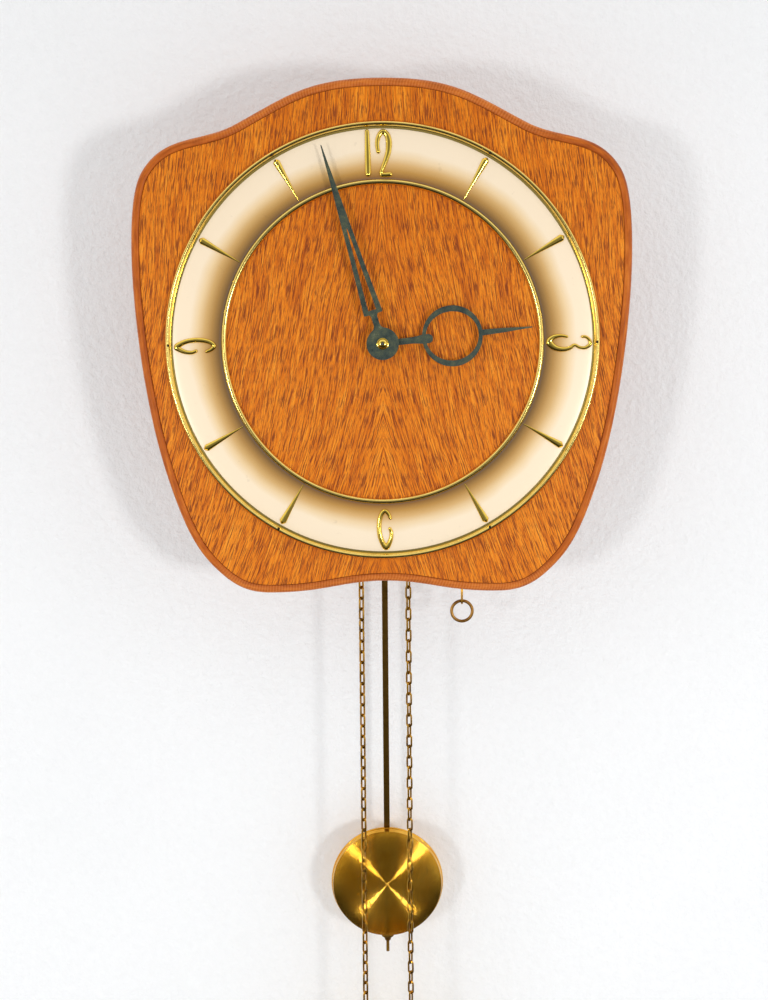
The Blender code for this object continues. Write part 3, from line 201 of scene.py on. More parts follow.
def finished(name, mesh, finish, body, replaces=(), drop=(0.0, 0.0, 0.0), bevel=0.0, sharp=35):
    """A finished piece: its place goes into its mesh, and it rides on a body of the frame."""
    if any(drop):
        mesh.transform(Matrix.Translation(drop))
    mesh.name = name
    mesh.materials.clear()
    mesh.materials.append(finish)
    made = bpy.data.objects.new(name, mesh)
    bpy.context.scene.collection.objects.link(made)
    if bevel:
        rounding = made.modifiers.new("rounding", "BEVEL")
        rounding.width = bevel
        rounding.segments = 2
        rounding.limit_method = "ANGLE"
        rounding.angle_limit = math.radians(40)
        rounding.harden_normals = False
    mesh.shade_smooth()
    mesh.set_sharp_from_angle(angle=math.radians(sharp))
    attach(made, body)
    if replaces:
        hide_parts(*([replaces] if isinstance(replaces, str) else replaces))
    return made


AT_DIAL = (DIAL_X, 0.0, DIAL_Z)  # what is drawn about the dial's centre is dropped to here
print("tools ready, dial at", [round(v, 4) for v in AT_DIAL])

# %% [markdown]
# ## Shader maths as Python expressions
# A finish such as wood is a sum of patterns. `Wire` wraps one output of a shader node, so that
# `1 - mask * 0.5` adds the Math nodes it needs. `Finish` holds one material, and its `add` method
# makes any other node from its type, its settings and what goes into its sockets.

# %% Shader tools
def srgb(red, green, blue):
    """A colour as a painter mixes it, 0 to 255, turned into linear light."""
    parts = [v / 255 for v in (red, green, blue)]
    return tuple(p / 12.92 if p <= 0.04045 else ((p + 0.055) / 1.055) ** 2.4 for p in parts) + (1.0,)


class Wire:
    """One output of a shader node, used in sums and products."""

    def __init__(self, finish, socket):
        self.finish = finish
        self.socket = socket

    def maths(self, operation, first, second=0.0):
        return self.finish.add("ShaderNodeMath", {"operation": operation}, {0: first, 1: second})

    def __add__(self, other):
        return self.maths("ADD", self, other)

    __radd__ = __add__

    def __sub__(self, other):
        return self.maths("SUBTRACT", self, other)

    def __rsub__(self, other):
        return self.maths("SUBTRACT", other, self)

    def __mul__(self, other):
        return self.maths("MULTIPLY", self, other)

    __rmul__ = __mul__

    def __truediv__(self, other):
        return self.maths("DIVIDE", self, other)

    def __pow__(self, other):
        return self.maths("POWER", self, other)

    def __abs__(self):
        return self.maths("ABSOLUTE", self)

    def sine(self):
        return self.maths("SINE", self)

    def smooth(self, low, high):
        """0 below low, 1 above high, and an easy slope between."""
        return self.finish.add(
            "ShaderNodeMapRange", {"interpolation_type": "SMOOTHSTEP"},
            {"Value": self, "From Min": low, "From Max": high},
        )


class Finish:
    """One material: a Principled shader and the nodes that feed it."""

    def __init__(self, name, **constants):
        self.material = bpy.data.materials.new(name)
        self.material.use_nodes = True
        self.tree = self.material.node_tree
        self.shader = self.tree.nodes["Principled BSDF"]
        for socket, value in constants.items():
            self.shader.inputs[socket.replace("_", " ")].default_value = value

    def add(self, kind, settings=None, values=None, output=0):
        node = self.tree.nodes.new(kind)
        for name, value in (settings or {}).items():
            if name == "stops":
                self.set_stops(node.color_ramp, value)
            else:
                setattr(node, name, value)
        for name, value in (values or {}).items():
            self.plug(node.inputs[name], value)
        return Wire(self, node.outputs[output])

    def plug(self, socket, value):
        if isinstance(value, Wire):
            self.tree.links.new(value.socket, socket)
        else:
            socket.default_value = value

    def set_stops(self, ramp, stops):
        while len(ramp.elements) > 1:
            ramp.elements.remove(ramp.elements[-1])
        ramp.elements[0].position, ramp.elements[0].color = stops[0]
        for position, colour in stops[1:]:
            ramp.elements.new(position).color = colour

    def place(self, origin=(0.0, 0.0, 0.0), turn=(0.0, 0.0, 0.0)):
        """The point on the object, from an origin, as a vector."""
        where = self.add("ShaderNodeTexCoord", output="Object")
        moved = {"Vector": where, "Location": [-v for v in origin], "Rotation": turn}
        return self.add("ShaderNodeMapping", None, moved)

    def parts(self, vector):
        split = self.add("ShaderNodeSeparateXYZ", None, {0: vector})
        return [Wire(self, socket) for socket in split.socket.node.outputs]

    def vector(self, x, y, z):
        return self.add("ShaderNodeCombineXYZ", None, {0: x, 1: y, 2: z})

    def noise(self, vector, scale=1.0, detail=2.0, roughness=0.5):
        values = {"Vector": vector, "Scale": scale, "Detail": detail, "Roughness": roughness}
        return self.add("ShaderNodeTexNoise", None, values)

    def blend(self, share, first, second, way="MIX"):
        """Two colours mixed: share 0 gives the first and 1 the second."""
        settings = {"data_type": "RGBA", "blend_type": way, "clamp_factor": True}
        return self.add("ShaderNodeMix", settings, {0: share, 6: first, 7: second}, output=2)

    def ramp(self, share, *stops):
        return self.add("ShaderNodeValToRGB", {"stops": stops}, {0: share})

    def feed(self, **sockets):
        for socket, value in sockets.items():
            self.plug(self.shader.inputs[socket.replace("_", " ")], value)

    def bump(self, height, distance, strength=1.0):
        values = {"Height": height, "Distance": distance, "Strength": strength}
        self.feed(Normal=self.add("ShaderNodeBump", None, values))


print("shader tools ready")

# %% [markdown]
# ## Veneer
# The board's face is two leaves cut from one flitch and opened like a book, so the right leaf is the
# left one mirrored on the middle seam. The absolute value of x gives that mirror. The grain leans
# outwards on its way down, so the coordinate across the grain is shifted with height before the
# noise that draws the dark open pores is stretched along it.

# %% Veneer finish
def wood_pores(finish, across, along, wide, long, low, high, seed=0.0):
    """Dark pores of a width and a length, as a mask."""
    where = finish.vector(across / wide + seed, seed, along / long)
    return finish.noise(where, detail=2.5, roughness=0.6).smooth(low, high)


def veneer_finish():
    f = Finish("teak_veneer", Specular_IOR_Level=0.18, Coat_Weight=0.05, Coat_Roughness=0.3)
    x, _, z = f.parts(f.place(AT_DIAL))
    fall = 0.182 - z
    sway = f.noise(f.vector(abs(x) * 9, 0.0, z * 7), detail=1.5)
    across = abs(x) - fall * 0.075 - fall * fall * 0.33 + (sway - 0.5) * 0.016
    flow = f.noise(f.vector(across * 70, 2.0, z * 3.2), detail=2)
    streak = f.noise(f.vector(across * 640, 4.0, z * 40), detail=3, roughness=0.6)
    pores = wood_pores(f, across, z, 0.85 * MM, 15 * MM, 0.52, 0.59)
    fine = wood_pores(f, across, z, 0.5 * MM, 7 * MM, 0.54, 0.61, seed=7.0)
    tone = f.ramp(
        flow * 0.33 + streak * 0.67,
        (0.36, srgb(182, 88, 8)), (0.46, srgb(212, 112, 14)), (0.54, srgb(228, 130, 22)),
        (0.68, srgb(246, 158, 46)),
    )
    stained = f.blend(pores * (0.95 - flow * 0.3), tone, srgb(112, 44, 16))
    f.feed(
        Base_Color=f.blend(fine * 0.6, stained, srgb(104, 40, 18)),
        Roughness=0.42 + pores * 0.2,
    )
    f.bump(1 - pores * 0.7 - fine * 0.4 + streak * 0.2, 0.16 * MM, 0.5)
    return f.material


VENEER = veneer_finish()
print("veneer nodes:", len(VENEER.node_tree.nodes))

# %% [markdown]
# ## The lipping's wood
# The rounded edge is a bent strip of the same timber, oiled darker. Its grain runs with the strip, so
# the pattern follows the strip's own UV map, which counts metres along it and 0 to 1 across it. At
# the top and the foot of the board the fibres come up on a slant and show as a fine twisted line.

# %% Lipping finish
def lipping_finish():
    f = Finish("lipping_wood", Specular_IOR_Level=0.2, Coat_Weight=0.06, Coat_Roughness=0.3)
    along, across, _ = f.parts(f.add("ShaderNodeTexCoord", output="UV"))
    _, _, z = f.parts(f.place(AT_DIAL))
    grain = f.noise(f.vector(along * 60, across * 5, 0.0), detail=4, roughness=0.65)
    coarse = f.noise(f.vector(along * 9, across * 1.5, 3.0), detail=2)
    slant = (along * (TURN / (2.1 * MM)) + across * 7 + coarse * 9).sine() * 0.5 + 0.5
    ends = z.smooth(0.135, 0.150) + (0 - z).smooth(0.150, 0.166)
    tone = f.ramp(
        grain * 0.6 + coarse * 0.4,
        (0.36, srgb(146, 66, 10)), (0.5, srgb(184, 92, 18)), (0.64, srgb(210, 118, 34)),
    )
    twisted = f.blend(ends * slant * 0.36, tone, srgb(222, 140, 76))
    inner_line = across.smooth(0.80, 0.97)
    f.feed(Base_Color=f.blend(inner_line * 0.25, twisted, srgb(150, 60, 12)), Roughness=0.34 + grain * 0.2)
    f.bump(grain + ends * slant * 0.4, 0.12 * MM, 0.6)
    return f.material


LIPPING = lipping_finish()
print("lipping nodes:", len(LIPPING.node_tree.nodes))

# %% [markdown]
# ## Case wood and back panel
# The case behind the board is plain stained wood with its grain upright. The back panel is thin
# birch plywood, paler and rougher. Both come from one function with other colours and sizes.

# %% Plain woods
def plain_wood(name, dark, light, pore, wide, roughness):
    f = Finish(name)
    x, y, z = f.parts(f.place())
    bend = (f.noise(f.vector(x * 12, y * 12, z * 3), detail=1) - 0.5) * 0.02
    across = x + y * 0.8 + bend
    flow = f.noise(f.vector(across * (1 / wide), 1.0, z * 6), detail=4, roughness=0.6)
    pores = wood_pores(f, across, z, 1.2 * MM, 22 * MM, 0.56, 0.66)
    tone = f.ramp(flow, (0.3, dark), (0.72, light))
    f.feed(Base_Color=f.blend(pores * 0.6, tone, pore), Roughness=roughness + pores * 0.15)
    f.bump(flow * 0.4 - pores, 0.12 * MM, 0.5)
    return f.material


CASE_WOOD = plain_wood(
    "case_wood", srgb(112, 58, 26), srgb(160, 92, 46), srgb(70, 34, 16), 6 * MM, 0.45)
PANEL_WOOD = plain_wood(
    "birch_plywood", srgb(176, 138, 96), srgb(206, 172, 126), srgb(140, 104, 70), 16 * MM, 0.68)
print("plain woods:", CASE_WOOD.name, PANEL_WOOD.name)

# %% [markdown]
# ## Lacquered dial
# The ring is pressed brass, sprayed cream and then shaded brown from its inner edge with an airbrush.
# The shade depends only on the distance from the dial's centre and a little on the direction, so it
# is worked out from those, with a fine mist of spray dots at the border.

# %% Dial lacquer
OUTER_BEZEL_WIDE = 5.5 * MM
INNER_BEZEL_WIDE = 4.0 * MM
RING_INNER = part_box("inner_bezel")[1].x - DIAL_X
RING_OUTER = dial_high.x - DIAL_X - OUTER_BEZEL_WIDE


def dial_finish():
    f = Finish("dial_lacquer", Metallic=0.1, Coat_Weight=0.12, Coat_Roughness=0.22)
    x, y, z = f.parts(f.place(AT_DIAL))
    radius = (x * x + z * z) ** 0.5
    # side grows towards 3 and 9 o'clock, where it widens and greys the brown as painted shade.
    side = abs(x) / radius
    out = (radius - RING_INNER) / (RING_OUTER - RING_INNER)
    mist = f.noise(f.place(), scale=3200, detail=1)
    cloud = f.noise(f.place(AT_DIAL), scale=26, detail=2)
    reach = out / (0.78 + side * side * 0.12 + (cloud - 0.5) * 0.24) + (mist - 0.5) * 0.07
    # The first stop of both ramps, grey-brown at the very inner edge, is painted shadow of the inner bezel.
    warm = f.ramp(
        reach,
        (0.0, srgb(128, 98, 72)), (0.05, srgb(150, 104, 44)), (0.2, srgb(190, 142, 68)),
        (0.36, srgb(216, 174, 112)), (0.54, srgb(238, 210, 166)), (0.75, srgb(248, 229, 200)),
    )
    # Painted shade: a greyer, darker ramp that is used towards 3 and 9 o'clock.
    shaded_sides_ramp = f.ramp(
        reach,
        (0.0, srgb(112, 92, 74)), (0.06, srgb(126, 92, 44)), (0.22, srgb(176, 132, 66)),
        (0.38, srgb(210, 168, 104)), (0.56, srgb(236, 206, 158)), (0.75, srgb(248, 228, 198)),
    )
    # Towards 3 and 9 o'clock the colour turns to the painted-shade ramp.
    colour = f.blend(side.smooth(0.1, 0.75), warm, shaded_sides_ramp)
    stains = f.noise(f.place(AT_DIAL), scale=140, detail=3).smooth(0.66, 0.74)
    f.feed(Base_Color=f.blend(stains * 0.12, colour, srgb(120, 96, 60)), Roughness=0.34 + mist * 0.1)
    f.bump(mist, 0.03 * MM, 0.35)
    return f.material


DIAL_LACQUER = dial_finish()
print("dial ring from", round(RING_INNER, 4), "to", round(RING_OUTER, 4))

# %% [markdown]
# ## Brass, steel and iron
# The metals differ in colour, polish and the marks of the tool. One function gives each its base
# colour, a darker tarnish in patches and fine marks, and the marks say how the piece was made: specks
# on cast and drawn work, and straight scratches on sheet that was brushed.

# %% Metals
def metal(name, bright, tarnish, polish, patches, marks, depth, spread):
    """Colours from 0 to 255, marks "none" or "straight" along z, and their depth in millimetres."""
    f = Finish(name, Metallic=1.0)
    where = f.place()
    x, y, z = f.parts(where)
    cloud = f.noise(where, scale=spread, detail=4, roughness=0.6)
    speck = f.noise(where, scale=spread * 14, detail=2)
    if marks == "straight":
        scratch = f.noise(f.vector(x * 2400, y * 2400, z * 60), detail=2, roughness=0.7)
    else:
        scratch = speck
    dull = (cloud * 0.75 + speck * 0.25).smooth(0.45, 0.68) * patches
    f.feed(
        Base_Color=f.blend(dull, srgb(*bright), srgb(*tarnish)),
        Roughness=polish + dull * 0.25 + (scratch - 0.5) * 0.12,
    )
    f.bump(scratch, depth * MM, 0.6)
    return f.material


METALS = [  # name, bright colour, tarnish, roughness, tarnished share, marks, depth, patches in a metre
    ("polished_brass", (244, 214, 120), (186, 150, 62), 0.16, 0.35, "none", 0.01, 60),
    ("figure_brass", (240, 208, 96), (176, 134, 44), 0.13, 0.35, "none", 0.008, 90),
    ("chain_brass", (196, 146, 50), (64, 42, 14), 0.18, 0.92, "none", 0.02, 160),
    ("movement_brass", (222, 184, 98), (168, 130, 62), 0.26, 0.5, "straight", 0.012, 60),
    ("weight_brass", (226, 182, 88), (160, 118, 48), 0.22, 0.5, "none", 0.01, 24),
    ("dull_brass", (124, 92, 36), (66, 46, 14), 0.38, 0.7, "straight", 0.02, 40),
    ("ring_brass", (176, 130, 66), (112, 76, 36), 0.36, 0.6, "none", 0.015, 120),
    ("steel", (172, 172, 172), (112, 110, 108), 0.24, 0.4, "straight", 0.01, 60),
    ("black_iron", (44, 43, 42), (70, 52, 40), 0.55, 0.4, "none", 0.12, 200),
    ("nail_steel", (60, 52, 44), (36, 30, 26), 0.3, 0.6, "none", 0.02, 500),
]
made_metals = [metal(*row) for row in METALS]
POLISHED_BRASS, FIGURE_BRASS, CHAIN_BRASS, MOVEMENT_BRASS, WEIGHT_BRASS = made_metals[:5]
DULL_BRASS, RING_BRASS, STEEL, IRON, NAIL_STEEL = made_metals[5:]
print("metals:", POLISHED_BRASS.name, CHAIN_BRASS.name, STEEL.name, IRON.name)

# %% [markdown]
# ## Patina of the hands
# The hands are thin brass that was darkened in a bath, which leaves blue-green and olive clouds and
# a low sheen. Metal this dark keeps only part of its reflection, so its Metallic stays below one.

# %% Patina
def patina_finish():
    f = Finish("hand_patina", Metallic=0.55)
    where = f.place(AT_DIAL)
    cloud = f.noise(where, scale=130, detail=4, roughness=0.65)
    grit = f.noise(where, scale=1500, detail=2)
    tone = f.ramp(
        cloud * 0.7 + grit * 0.3,
        (0.34, srgb(40, 52, 50)), (0.48, srgb(66, 78, 70)), (0.6, srgb(90, 96, 72)),
        (0.72, srgb(126, 132, 110)),
    )
    f.feed(Base_Color=tone, Roughness=0.36 + cloud * 0.2)
    f.bump(grit, 0.03 * MM, 0.5)
    return f.material


PATINA = patina_finish()
print("patina nodes:", len(PATINA.node_tree.nodes))

# %% [markdown]
# ## Turned brass of the bob
# The bob's face is skimmed on a lathe, which leaves fine round grooves. Grooves scatter the light
# only across themselves, so each lamp is drawn out to a line through the middle, and two lamps give
# a cross. Each fine ring of the face is given its own small tilt along the radius, which does that by
# itself, from any side.

# %% Bob finish
BOB_LOW, BOB_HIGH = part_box("pendulum_bob")
BOB_CENTRE = (BOB_LOW + BOB_HIGH) / 2


def bob_finish():
    f = Finish("turned_brass", Metallic=1.0)
    where = f.place(tuple(BOB_CENTRE))
    x, _, z = f.parts(where)
    radius = (x * x + z * z) ** 0.5
    groove = f.add("ShaderNodeTexWhiteNoise", {"noise_dimensions": "1D"}, {"W": radius * 9000})
    tilt = (groove - 0.5) * 0.9 / radius
    cloud = f.noise(where, scale=30, detail=3)
    stain = f.noise(f.vector(x * 420, 0.0, z * 50), detail=2).smooth(0.58, 0.72)
    tone = f.ramp(cloud, (0.35, srgb(220, 154, 34)), (0.65, srgb(246, 190, 74)))
    lean = f.vector(x * tilt, 0.0, z * tilt)
    flat = f.add("ShaderNodeNewGeometry", output="Normal")
    tipped = f.add("ShaderNodeVectorMath", {"operation": "ADD"}, {0: flat, 1: lean})
    f.feed(
        Base_Color=f.blend(stain * 0.3, tone, srgb(204, 168, 96)),
        Roughness=0.14 + cloud * 0.05,
        Normal=f.add("ShaderNodeVectorMath", {"operation": "NORMALIZE"}, {0: tipped}),
    )
    return f.material


BOB_BRASS = bob_finish()
print("bob centre", [round(v, 4) for v in BOB_CENTRE])

# %% [markdown]
# ## The board's outline
# The board is one smooth closed curve: eight nodes down its right half, each with the way that the
# edge runs and how far the curve follows that way before and after it. The left half is the mirror
# image. A jigsaw template is drawn the same way, with a spline through a few chosen points.

# %% Outline of the board
HALF, RISE, DROP = 175.1 * MM, 182.1 * MM, 177.3 * MM
LIPPING_WIDE = 5.9 * MM
OUTLINE_NODES = [  # x, z, the edge's way in degrees, the curve's reach before and after in mm
    (0, RISE, 0, 0, 50),
    (0.573 * HALF, 0.833 * RISE, -27.7, 41, 27.5),
    (0.950 * HALF, 0.658 * RISE, -58, 31, 12),
    (HALF, 0.328 * RISE, -90, 29, 31.5),
    (0.874 * HALF, -0.542 * DROP, -107.3, 57, 38),
    (0.685 * HALF, -0.905 * DROP, -136, 19, 14),
    (0.465 * HALF, -DROP, -180, 19, 40),
    (0, -0.955 * DROP, -180, 31, 0),
]


def board_outline(steps):
    right = []
    for (x0, z0, way0, _, reach0), (x1, z1, way1, reach1, _) in zip(OUTLINE_NODES, OUTLINE_NODES[1:]):
        start, end = Vector((x0, z0)), Vector((x1, z1))
        leave = start + Vector(polar(reach0 * MM, math.radians(way0)))
        arrive = end - Vector(polar(reach1 * MM, math.radians(way1)))
        for step in range(steps):
            t = step / steps
            s = 1 - t
            right.append(s**3 * start + 3 * s * s * t * leave + 3 * s * t * t * arrive + t**3 * end)
    last = Vector((0, OUTLINE_NODES[-1][1]))
    return right + [last] + [Vector((-p.x, p.y)) for p in reversed(right[1:])]


def inset(outline, distance):
    moved = []
    for before, point, after in zip([outline[-1], *outline], outline, [*outline[1:], outline[0]]):
        way = (after - before).normalized()
        moved.append(point + distance * Vector((way.y, -way.x)))
    return moved


edge = board_outline(26)
print("points round the board:", len(edge))

# %% [markdown]
# ## Board and lipping
# The face is a flat panel with one hole for the hands' pipes. The lipping is a section carried round
# the outline: square at the back, rounded over at the front and a little proud of the veneer, with a
# fine dark joint between the two. Its UV map is laid while the faces are made.

# %% Board and lipping
face = [tuple(p) for p in inset(edge, LIPPING_WIDE + 0.28 * MM)]
board = sheet_cut(face, BOARD_FRONT, BOARD_BACK, [circle(7.5 * MM, 48)])
finished("front_panel", board, VENEER, "clock", "front_board", AT_DIAL, bevel=0.25 * MM)


def lipping_section():
    """Points of (inwards from the edge, y), round the back and over the rounded front."""
    crown = BOARD_FRONT - 0.8 * MM
    over = [(3.2 * MM * (1 - math.cos(a)), crown + 4.6 * MM * (1 - math.sin(a)))
            for a in (math.pi / 2 * k / 7 for k in range(8))]
    inner = [(4.6 * MM, crown + 0.12 * MM), (5.5 * MM, crown + 0.5 * MM),
             (LIPPING_WIDE, BOARD_FRONT + 0.4 * MM)]
    return [(LIPPING_WIDE, BOARD_BACK), (0.6 * MM, BOARD_BACK), (0, BOARD_BACK - 0.6 * MM)] + over + inner


def swept_round(outline, section):
    bm = bmesh.new()
    uv = bm.loops.layers.uv.new("along_and_across")
    rails = [[bm.verts.new((p.x, y, p.y)) for p in inset(outline, inwards)] for inwards, y in section]
    lengths = [0.0]
    for before, after in zip(outline, [*outline[1:], outline[0]]):
        lengths.append(lengths[-1] + (after - before).length)
    count = len(outline)
    for row, rail in enumerate(rails):
        following = rails[(row + 1) % len(rails)]
        for k in range(count):
            after = (k + 1) % count
            made = bm.faces.new((rail[k], following[k], following[after], rail[after]))
            across = (row / (len(rails) - 1), (row + 1) / (len(rails) - 1))
            spots = [(lengths[k], across[0]), (lengths[k], across[1]),
                     (lengths[k + 1], across[1]), (lengths[k + 1], across[0])]
            for loop, spot in zip(made.loops, spots):
                loop[uv].uv = spot
    return mesh_of(bm)


lipping = swept_round(edge, lipping_section())
finished("lipping", lipping, LIPPING, "clock", "edge_lipping", AT_DIAL, sharp=50)
print("lipping faces:", len(lipping.polygons))

# %% [markdown]
# ## Geometry Nodes tools
# What repeats is made by a node tree, so one number changes every copy. `Tree` builds such a tree
# with named inputs, `run` puts it on a starting mesh, sets its inputs by their identifiers and turns
# the result into a plain mesh with the modifier gone.

# %% Node tree tools
class Tree:
    """A Geometry Nodes tree that is built by name."""

    def __init__(self, name, **inputs):
        self.group = bpy.data.node_groups.new(name, "GeometryNodeTree")
        face = self.group.interface
        face.new_socket("Geometry", in_out="INPUT", socket_type="NodeSocketGeometry")
        face.new_socket("Geometry", in_out="OUTPUT", socket_type="NodeSocketGeometry")
        self.inputs = inputs
        for label, value in inputs.items():
            kind = "NodeSocketInt" if isinstance(value, int) else "NodeSocketFloat"
            face.new_socket(label, in_out="INPUT", socket_type=kind).default_value = value
        self.source = self.group.nodes.new("NodeGroupInput").outputs
        self.result = self.group.nodes.new("NodeGroupOutput").inputs

    def add(self, kind, settings=None, values=None, output=0):
        """One node, its settings set first, then its sockets; gives one of its outputs."""
        node = self.group.nodes.new(kind)
        for name, value in (settings or {}).items():
            setattr(node, name, value)
        for name, value in (values or {}).items():
            several = value if isinstance(value, list) else [value]
            for one in several:
                if isinstance(one, bpy.types.NodeSocket):
                    self.group.links.new(one, node.inputs[name])
                else:
                    node.inputs[name].default_value = one
        return node.outputs[output]

    def maths(self, operation, first, second=0.0):
        return self.add("ShaderNodeMath", {"operation": operation}, {0: first, 1: second})

    def finish(self, geometry, material):
        whole = self.add("GeometryNodeRealizeInstances", None, {"Geometry": geometry})
        painted = self.add("GeometryNodeSetMaterial", None, {"Geometry": whole, "Material": material})
        self.group.links.new(painted, self.result["Geometry"])
        return self


def run(tree, points, edges=(), **changes):
    """The tree's result on a mesh of points and edges, as a plain mesh."""
    start = bpy.data.meshes.new("start")
    start.from_pydata(points, edges, [])
    holder = bpy.data.objects.new("holder", start)
    bpy.context.scene.collection.objects.link(holder)
    modifier = holder.modifiers.new("tree", "NODES")
    modifier.node_group = tree.group
    sockets = {s.name: s.identifier for s in tree.group.interface.items_tree if s.in_out == "INPUT"}
    for label, value in {**tree.inputs, **changes}.items():
        modifier[sockets[label]] = value
    graph = bpy.context.evaluated_depsgraph_get()
    graph.update()
    made = bpy.data.meshes.new_from_object(holder.evaluated_get(graph))
    bpy.data.objects.remove(holder)
    bm = bmesh.new()
    bm.from_mesh(made)
    return mesh_of(bm)


print("node tree tools ready")

# %% [markdown]
# ## Bezels
# A bezel is drawn from brass strip over a round former, so every slice through it is the same: it is
# a main piece that follows a rule. Both have a half-round bead, and the outer one has a low ledge
# inside it, where the lacquered ring ends. The tree carries the section round a circle.

# %% Bezels
def swept_ring_tree(name, material):
    """A closed section, given as the starting mesh, carried round the dial's centre."""
    tree = Tree(name, Radius=0.1, Steps=240)
    section = tree.add("GeometryNodeMeshToCurve", None, {"Mesh": tree.source["Geometry"]})
    path = tree.add("GeometryNodeCurvePrimitiveCircle", None,
                    {"Resolution": tree.source["Steps"], "Radius": tree.source["Radius"]})
    swept = tree.add("GeometryNodeCurveToMesh", None, {"Curve": path, "Profile Curve": section})
    upright = tree.add("GeometryNodeTransform", None,
                       {"Geometry": swept, "Rotation": (math.pi / 2, 0.0, 0.0)})
    return tree.finish(upright, material)


def bezel(name, section, material, replaced, radius):
    """The section's points are (outwards from the radius, proud of the board)."""
    points = [(out, -high, 0.0) for out, high in section]
    loop = [(k, (k + 1) % len(points)) for k in range(len(points))]
    tree = swept_ring_tree(name, material)
    ring = run(tree, points, loop, Radius=radius)
    low = max(v.co.y for v in ring.vertices)
    ring.transform(Matrix.Translation((0, DIAL_BACK - low, 0)))
    return finished(name, ring, material, "clock", replaced, AT_DIAL, sharp=50)


OUTER_SECTION = [(0, 0), (5.5, 0), (5.5, 0.9), (5.3, 1.9), (4.85, 2.8), (4.2, 3.5), (3.5, 3.8), (2.9, 3.6),
                 (2.3, 3.0), (1.8, 2.1), (1.5, 1.1), (1.4, 0.5), (0, 0.5)]
INNER_SECTION = [(0, 0), (4, 0), (4, 0.8), (3.75, 1.5), (3.3, 2.1), (2.7, 2.5), (2.0, 2.6), (1.3, 2.4),
                 (0.7, 1.9), (0.25, 1.2), (0, 0.5)]
outer = bezel("outer_bead", in_mm(OUTER_SECTION), POLISHED_BRASS, "outer_bezel", RING_OUTER)
inner = bezel("inner_bead", in_mm(INNER_SECTION), POLISHED_BRASS, "inner_bezel", RING_INNER - INNER_BEZEL_WIDE)
print("outer bead", [round(v, 4) for v in outer.dimensions])

# %% [markdown]
# ## Chapter ring
# The pressed ring lies between the bezels. It is turned from a thin section that drops a little
# towards both edges, which gives the lacquer its soft fall of light.

# %% Chapter ring
RING_FACE = DIAL_BACK - 1 * MM
ring_in, ring_out = RING_INNER + 0.05 * MM, RING_OUTER - 0.05 * MM
dish = [(ring_in, DIAL_BACK), (ring_out, DIAL_BACK), (ring_out, RING_FACE + 0.5 * MM)]
for share in (0.97, 0.93, 0.85, 0.7, 0.5, 0.3, 0.15, 0.06, 0.0):
    fall = 0.45 * abs(2 * share - 1) ** 6
    dish.append((ring_in + share * (ring_out - ring_in), RING_FACE + fall * MM))
finished("lacquered_ring", turned(dish, 240), DIAL_LACQUER, "clock", "chapter_ring", AT_DIAL)
print("ring face at", round(RING_FACE, 4))

# %% [markdown]
# ## Raised figures
# The figures are pressed half round, so each stroke has a deep middle between two bright sides.
# A stroke is a smooth line through a few points with a width at each, and its section is an arch.
# The 9 is the 6 turned a quarter about the dial's centre, as a single die would have made it.

# %% Figures
def smooth_line(points, per_span=8):
    """A Catmull-Rom line through points of (x, z, width)."""
    ends = [points[0], *points, points[-1]]
    line = []
    for a, b, c, d in zip(ends, ends[1:], ends[2:], ends[3:]):
        for step in range(per_span):
            t = step / per_span
            line.append(tuple(
                0.5 * (2 * q + (r - p) * t + (2 * p - 5 * q + 4 * r - s) * t * t
                       + (3 * q - p - 3 * r + s) * t**3)
                for p, q, r, s in zip(a, b, c, d)
            ))
    return line + [points[-1]]


def stroke(points, high=1.5, per_span=8):
    """A raised half-round stroke with rounded ends, sizes in millimetres."""
    line = smooth_line(points, per_span)
    spine = []
    for k, (x, z, wide) in enumerate(line):
        before, after = line[max(k - 1, 0)], line[min(k + 1, len(line) - 1)]
        way = Vector((after[0] - before[0], after[1] - before[1])).normalized()
        spine.append((Vector((x, z)), way, wide, 1.0))
    for index, sign in ((0, -1), (-1, 1)):
        at, way, wide, _ = spine[index]
        tips = [(at + way * sign * wide / 2 * out, way, wide * narrow, narrow**0.5)
                for out, narrow in ((0.5, 0.86), (0.85, 0.5), (1.0, 0.12))]
        spine = tips[::-1] + spine if sign < 0 else spine + tips
    bm = bmesh.new()
    rows = []
    for at, way, wide, tall in spine:
        side = Vector((-way.y, way.x)) * wide / 2
        rise = high * tall
        row = []
        arch = [(-math.cos(math.pi * k / 8), rise * math.sin(math.pi * k / 8)) for k in range(9)]
        for share, height in [(-1, -0.4), *arch, (1, -0.4)]:
            spot = at + side * share
            row.append(bm.verts.new((spot.x * MM, RING_FACE - height * MM, spot.y * MM)))
        rows.append(row)
    for first, second in zip(rows, rows[1:]):
        for k in range(len(first)):
            after = (k + 1) % len(first)
            bm.faces.new((first[k], first[after], second[after], second[k]))
    bm.faces.new(rows[0])
    bm.faces.new(rows[-1])
    return mesh_of(bm, 1e-8)


ONE = [(-9.0, 116.8, 4.2), (-9.2, 131.0, 4.0), (-9.5, 145.3, 3.0)]
TWO = [(-1.8, 131.6, 2.8), (-2.5, 135.3, 2.9), (-2.3, 139.5, 3.1), (-0.8, 143.2, 3.3), (1.5, 145.2, 3.5),
       (4.0, 143.2, 4.0), (5.3, 139.8, 4.2), (5.5, 135.7, 4.2), (4.9, 130.8, 3.9), (3.4, 126.0, 3.5),
       (1.5, 121.1, 3.1), (-0.2, 117.2, 2.6)]
FOOT = [(0.4, 116.0, 3.2), (3.4, 116.0, 3.4), (6.2, 116.2, 3.4)]
SIX = [(4.4, -123.4, 2.5), (3.1, -120.4, 2.8), (0.6, -118.2, 3.1), (-1.9, -120.7, 3.3), (-3.3, -125.4, 3.5),
       (-3.6, -131.1, 3.5), (-2.9, -136.7, 3.6), (-1.0, -141.6, 3.8), (1.3, -144.4, 4.2), (3.6, -141.2, 3.5),
       (4.9, -137.2, 3.0), (5.0, -133.6, 2.8), (4.0, -131.0, 2.5)]
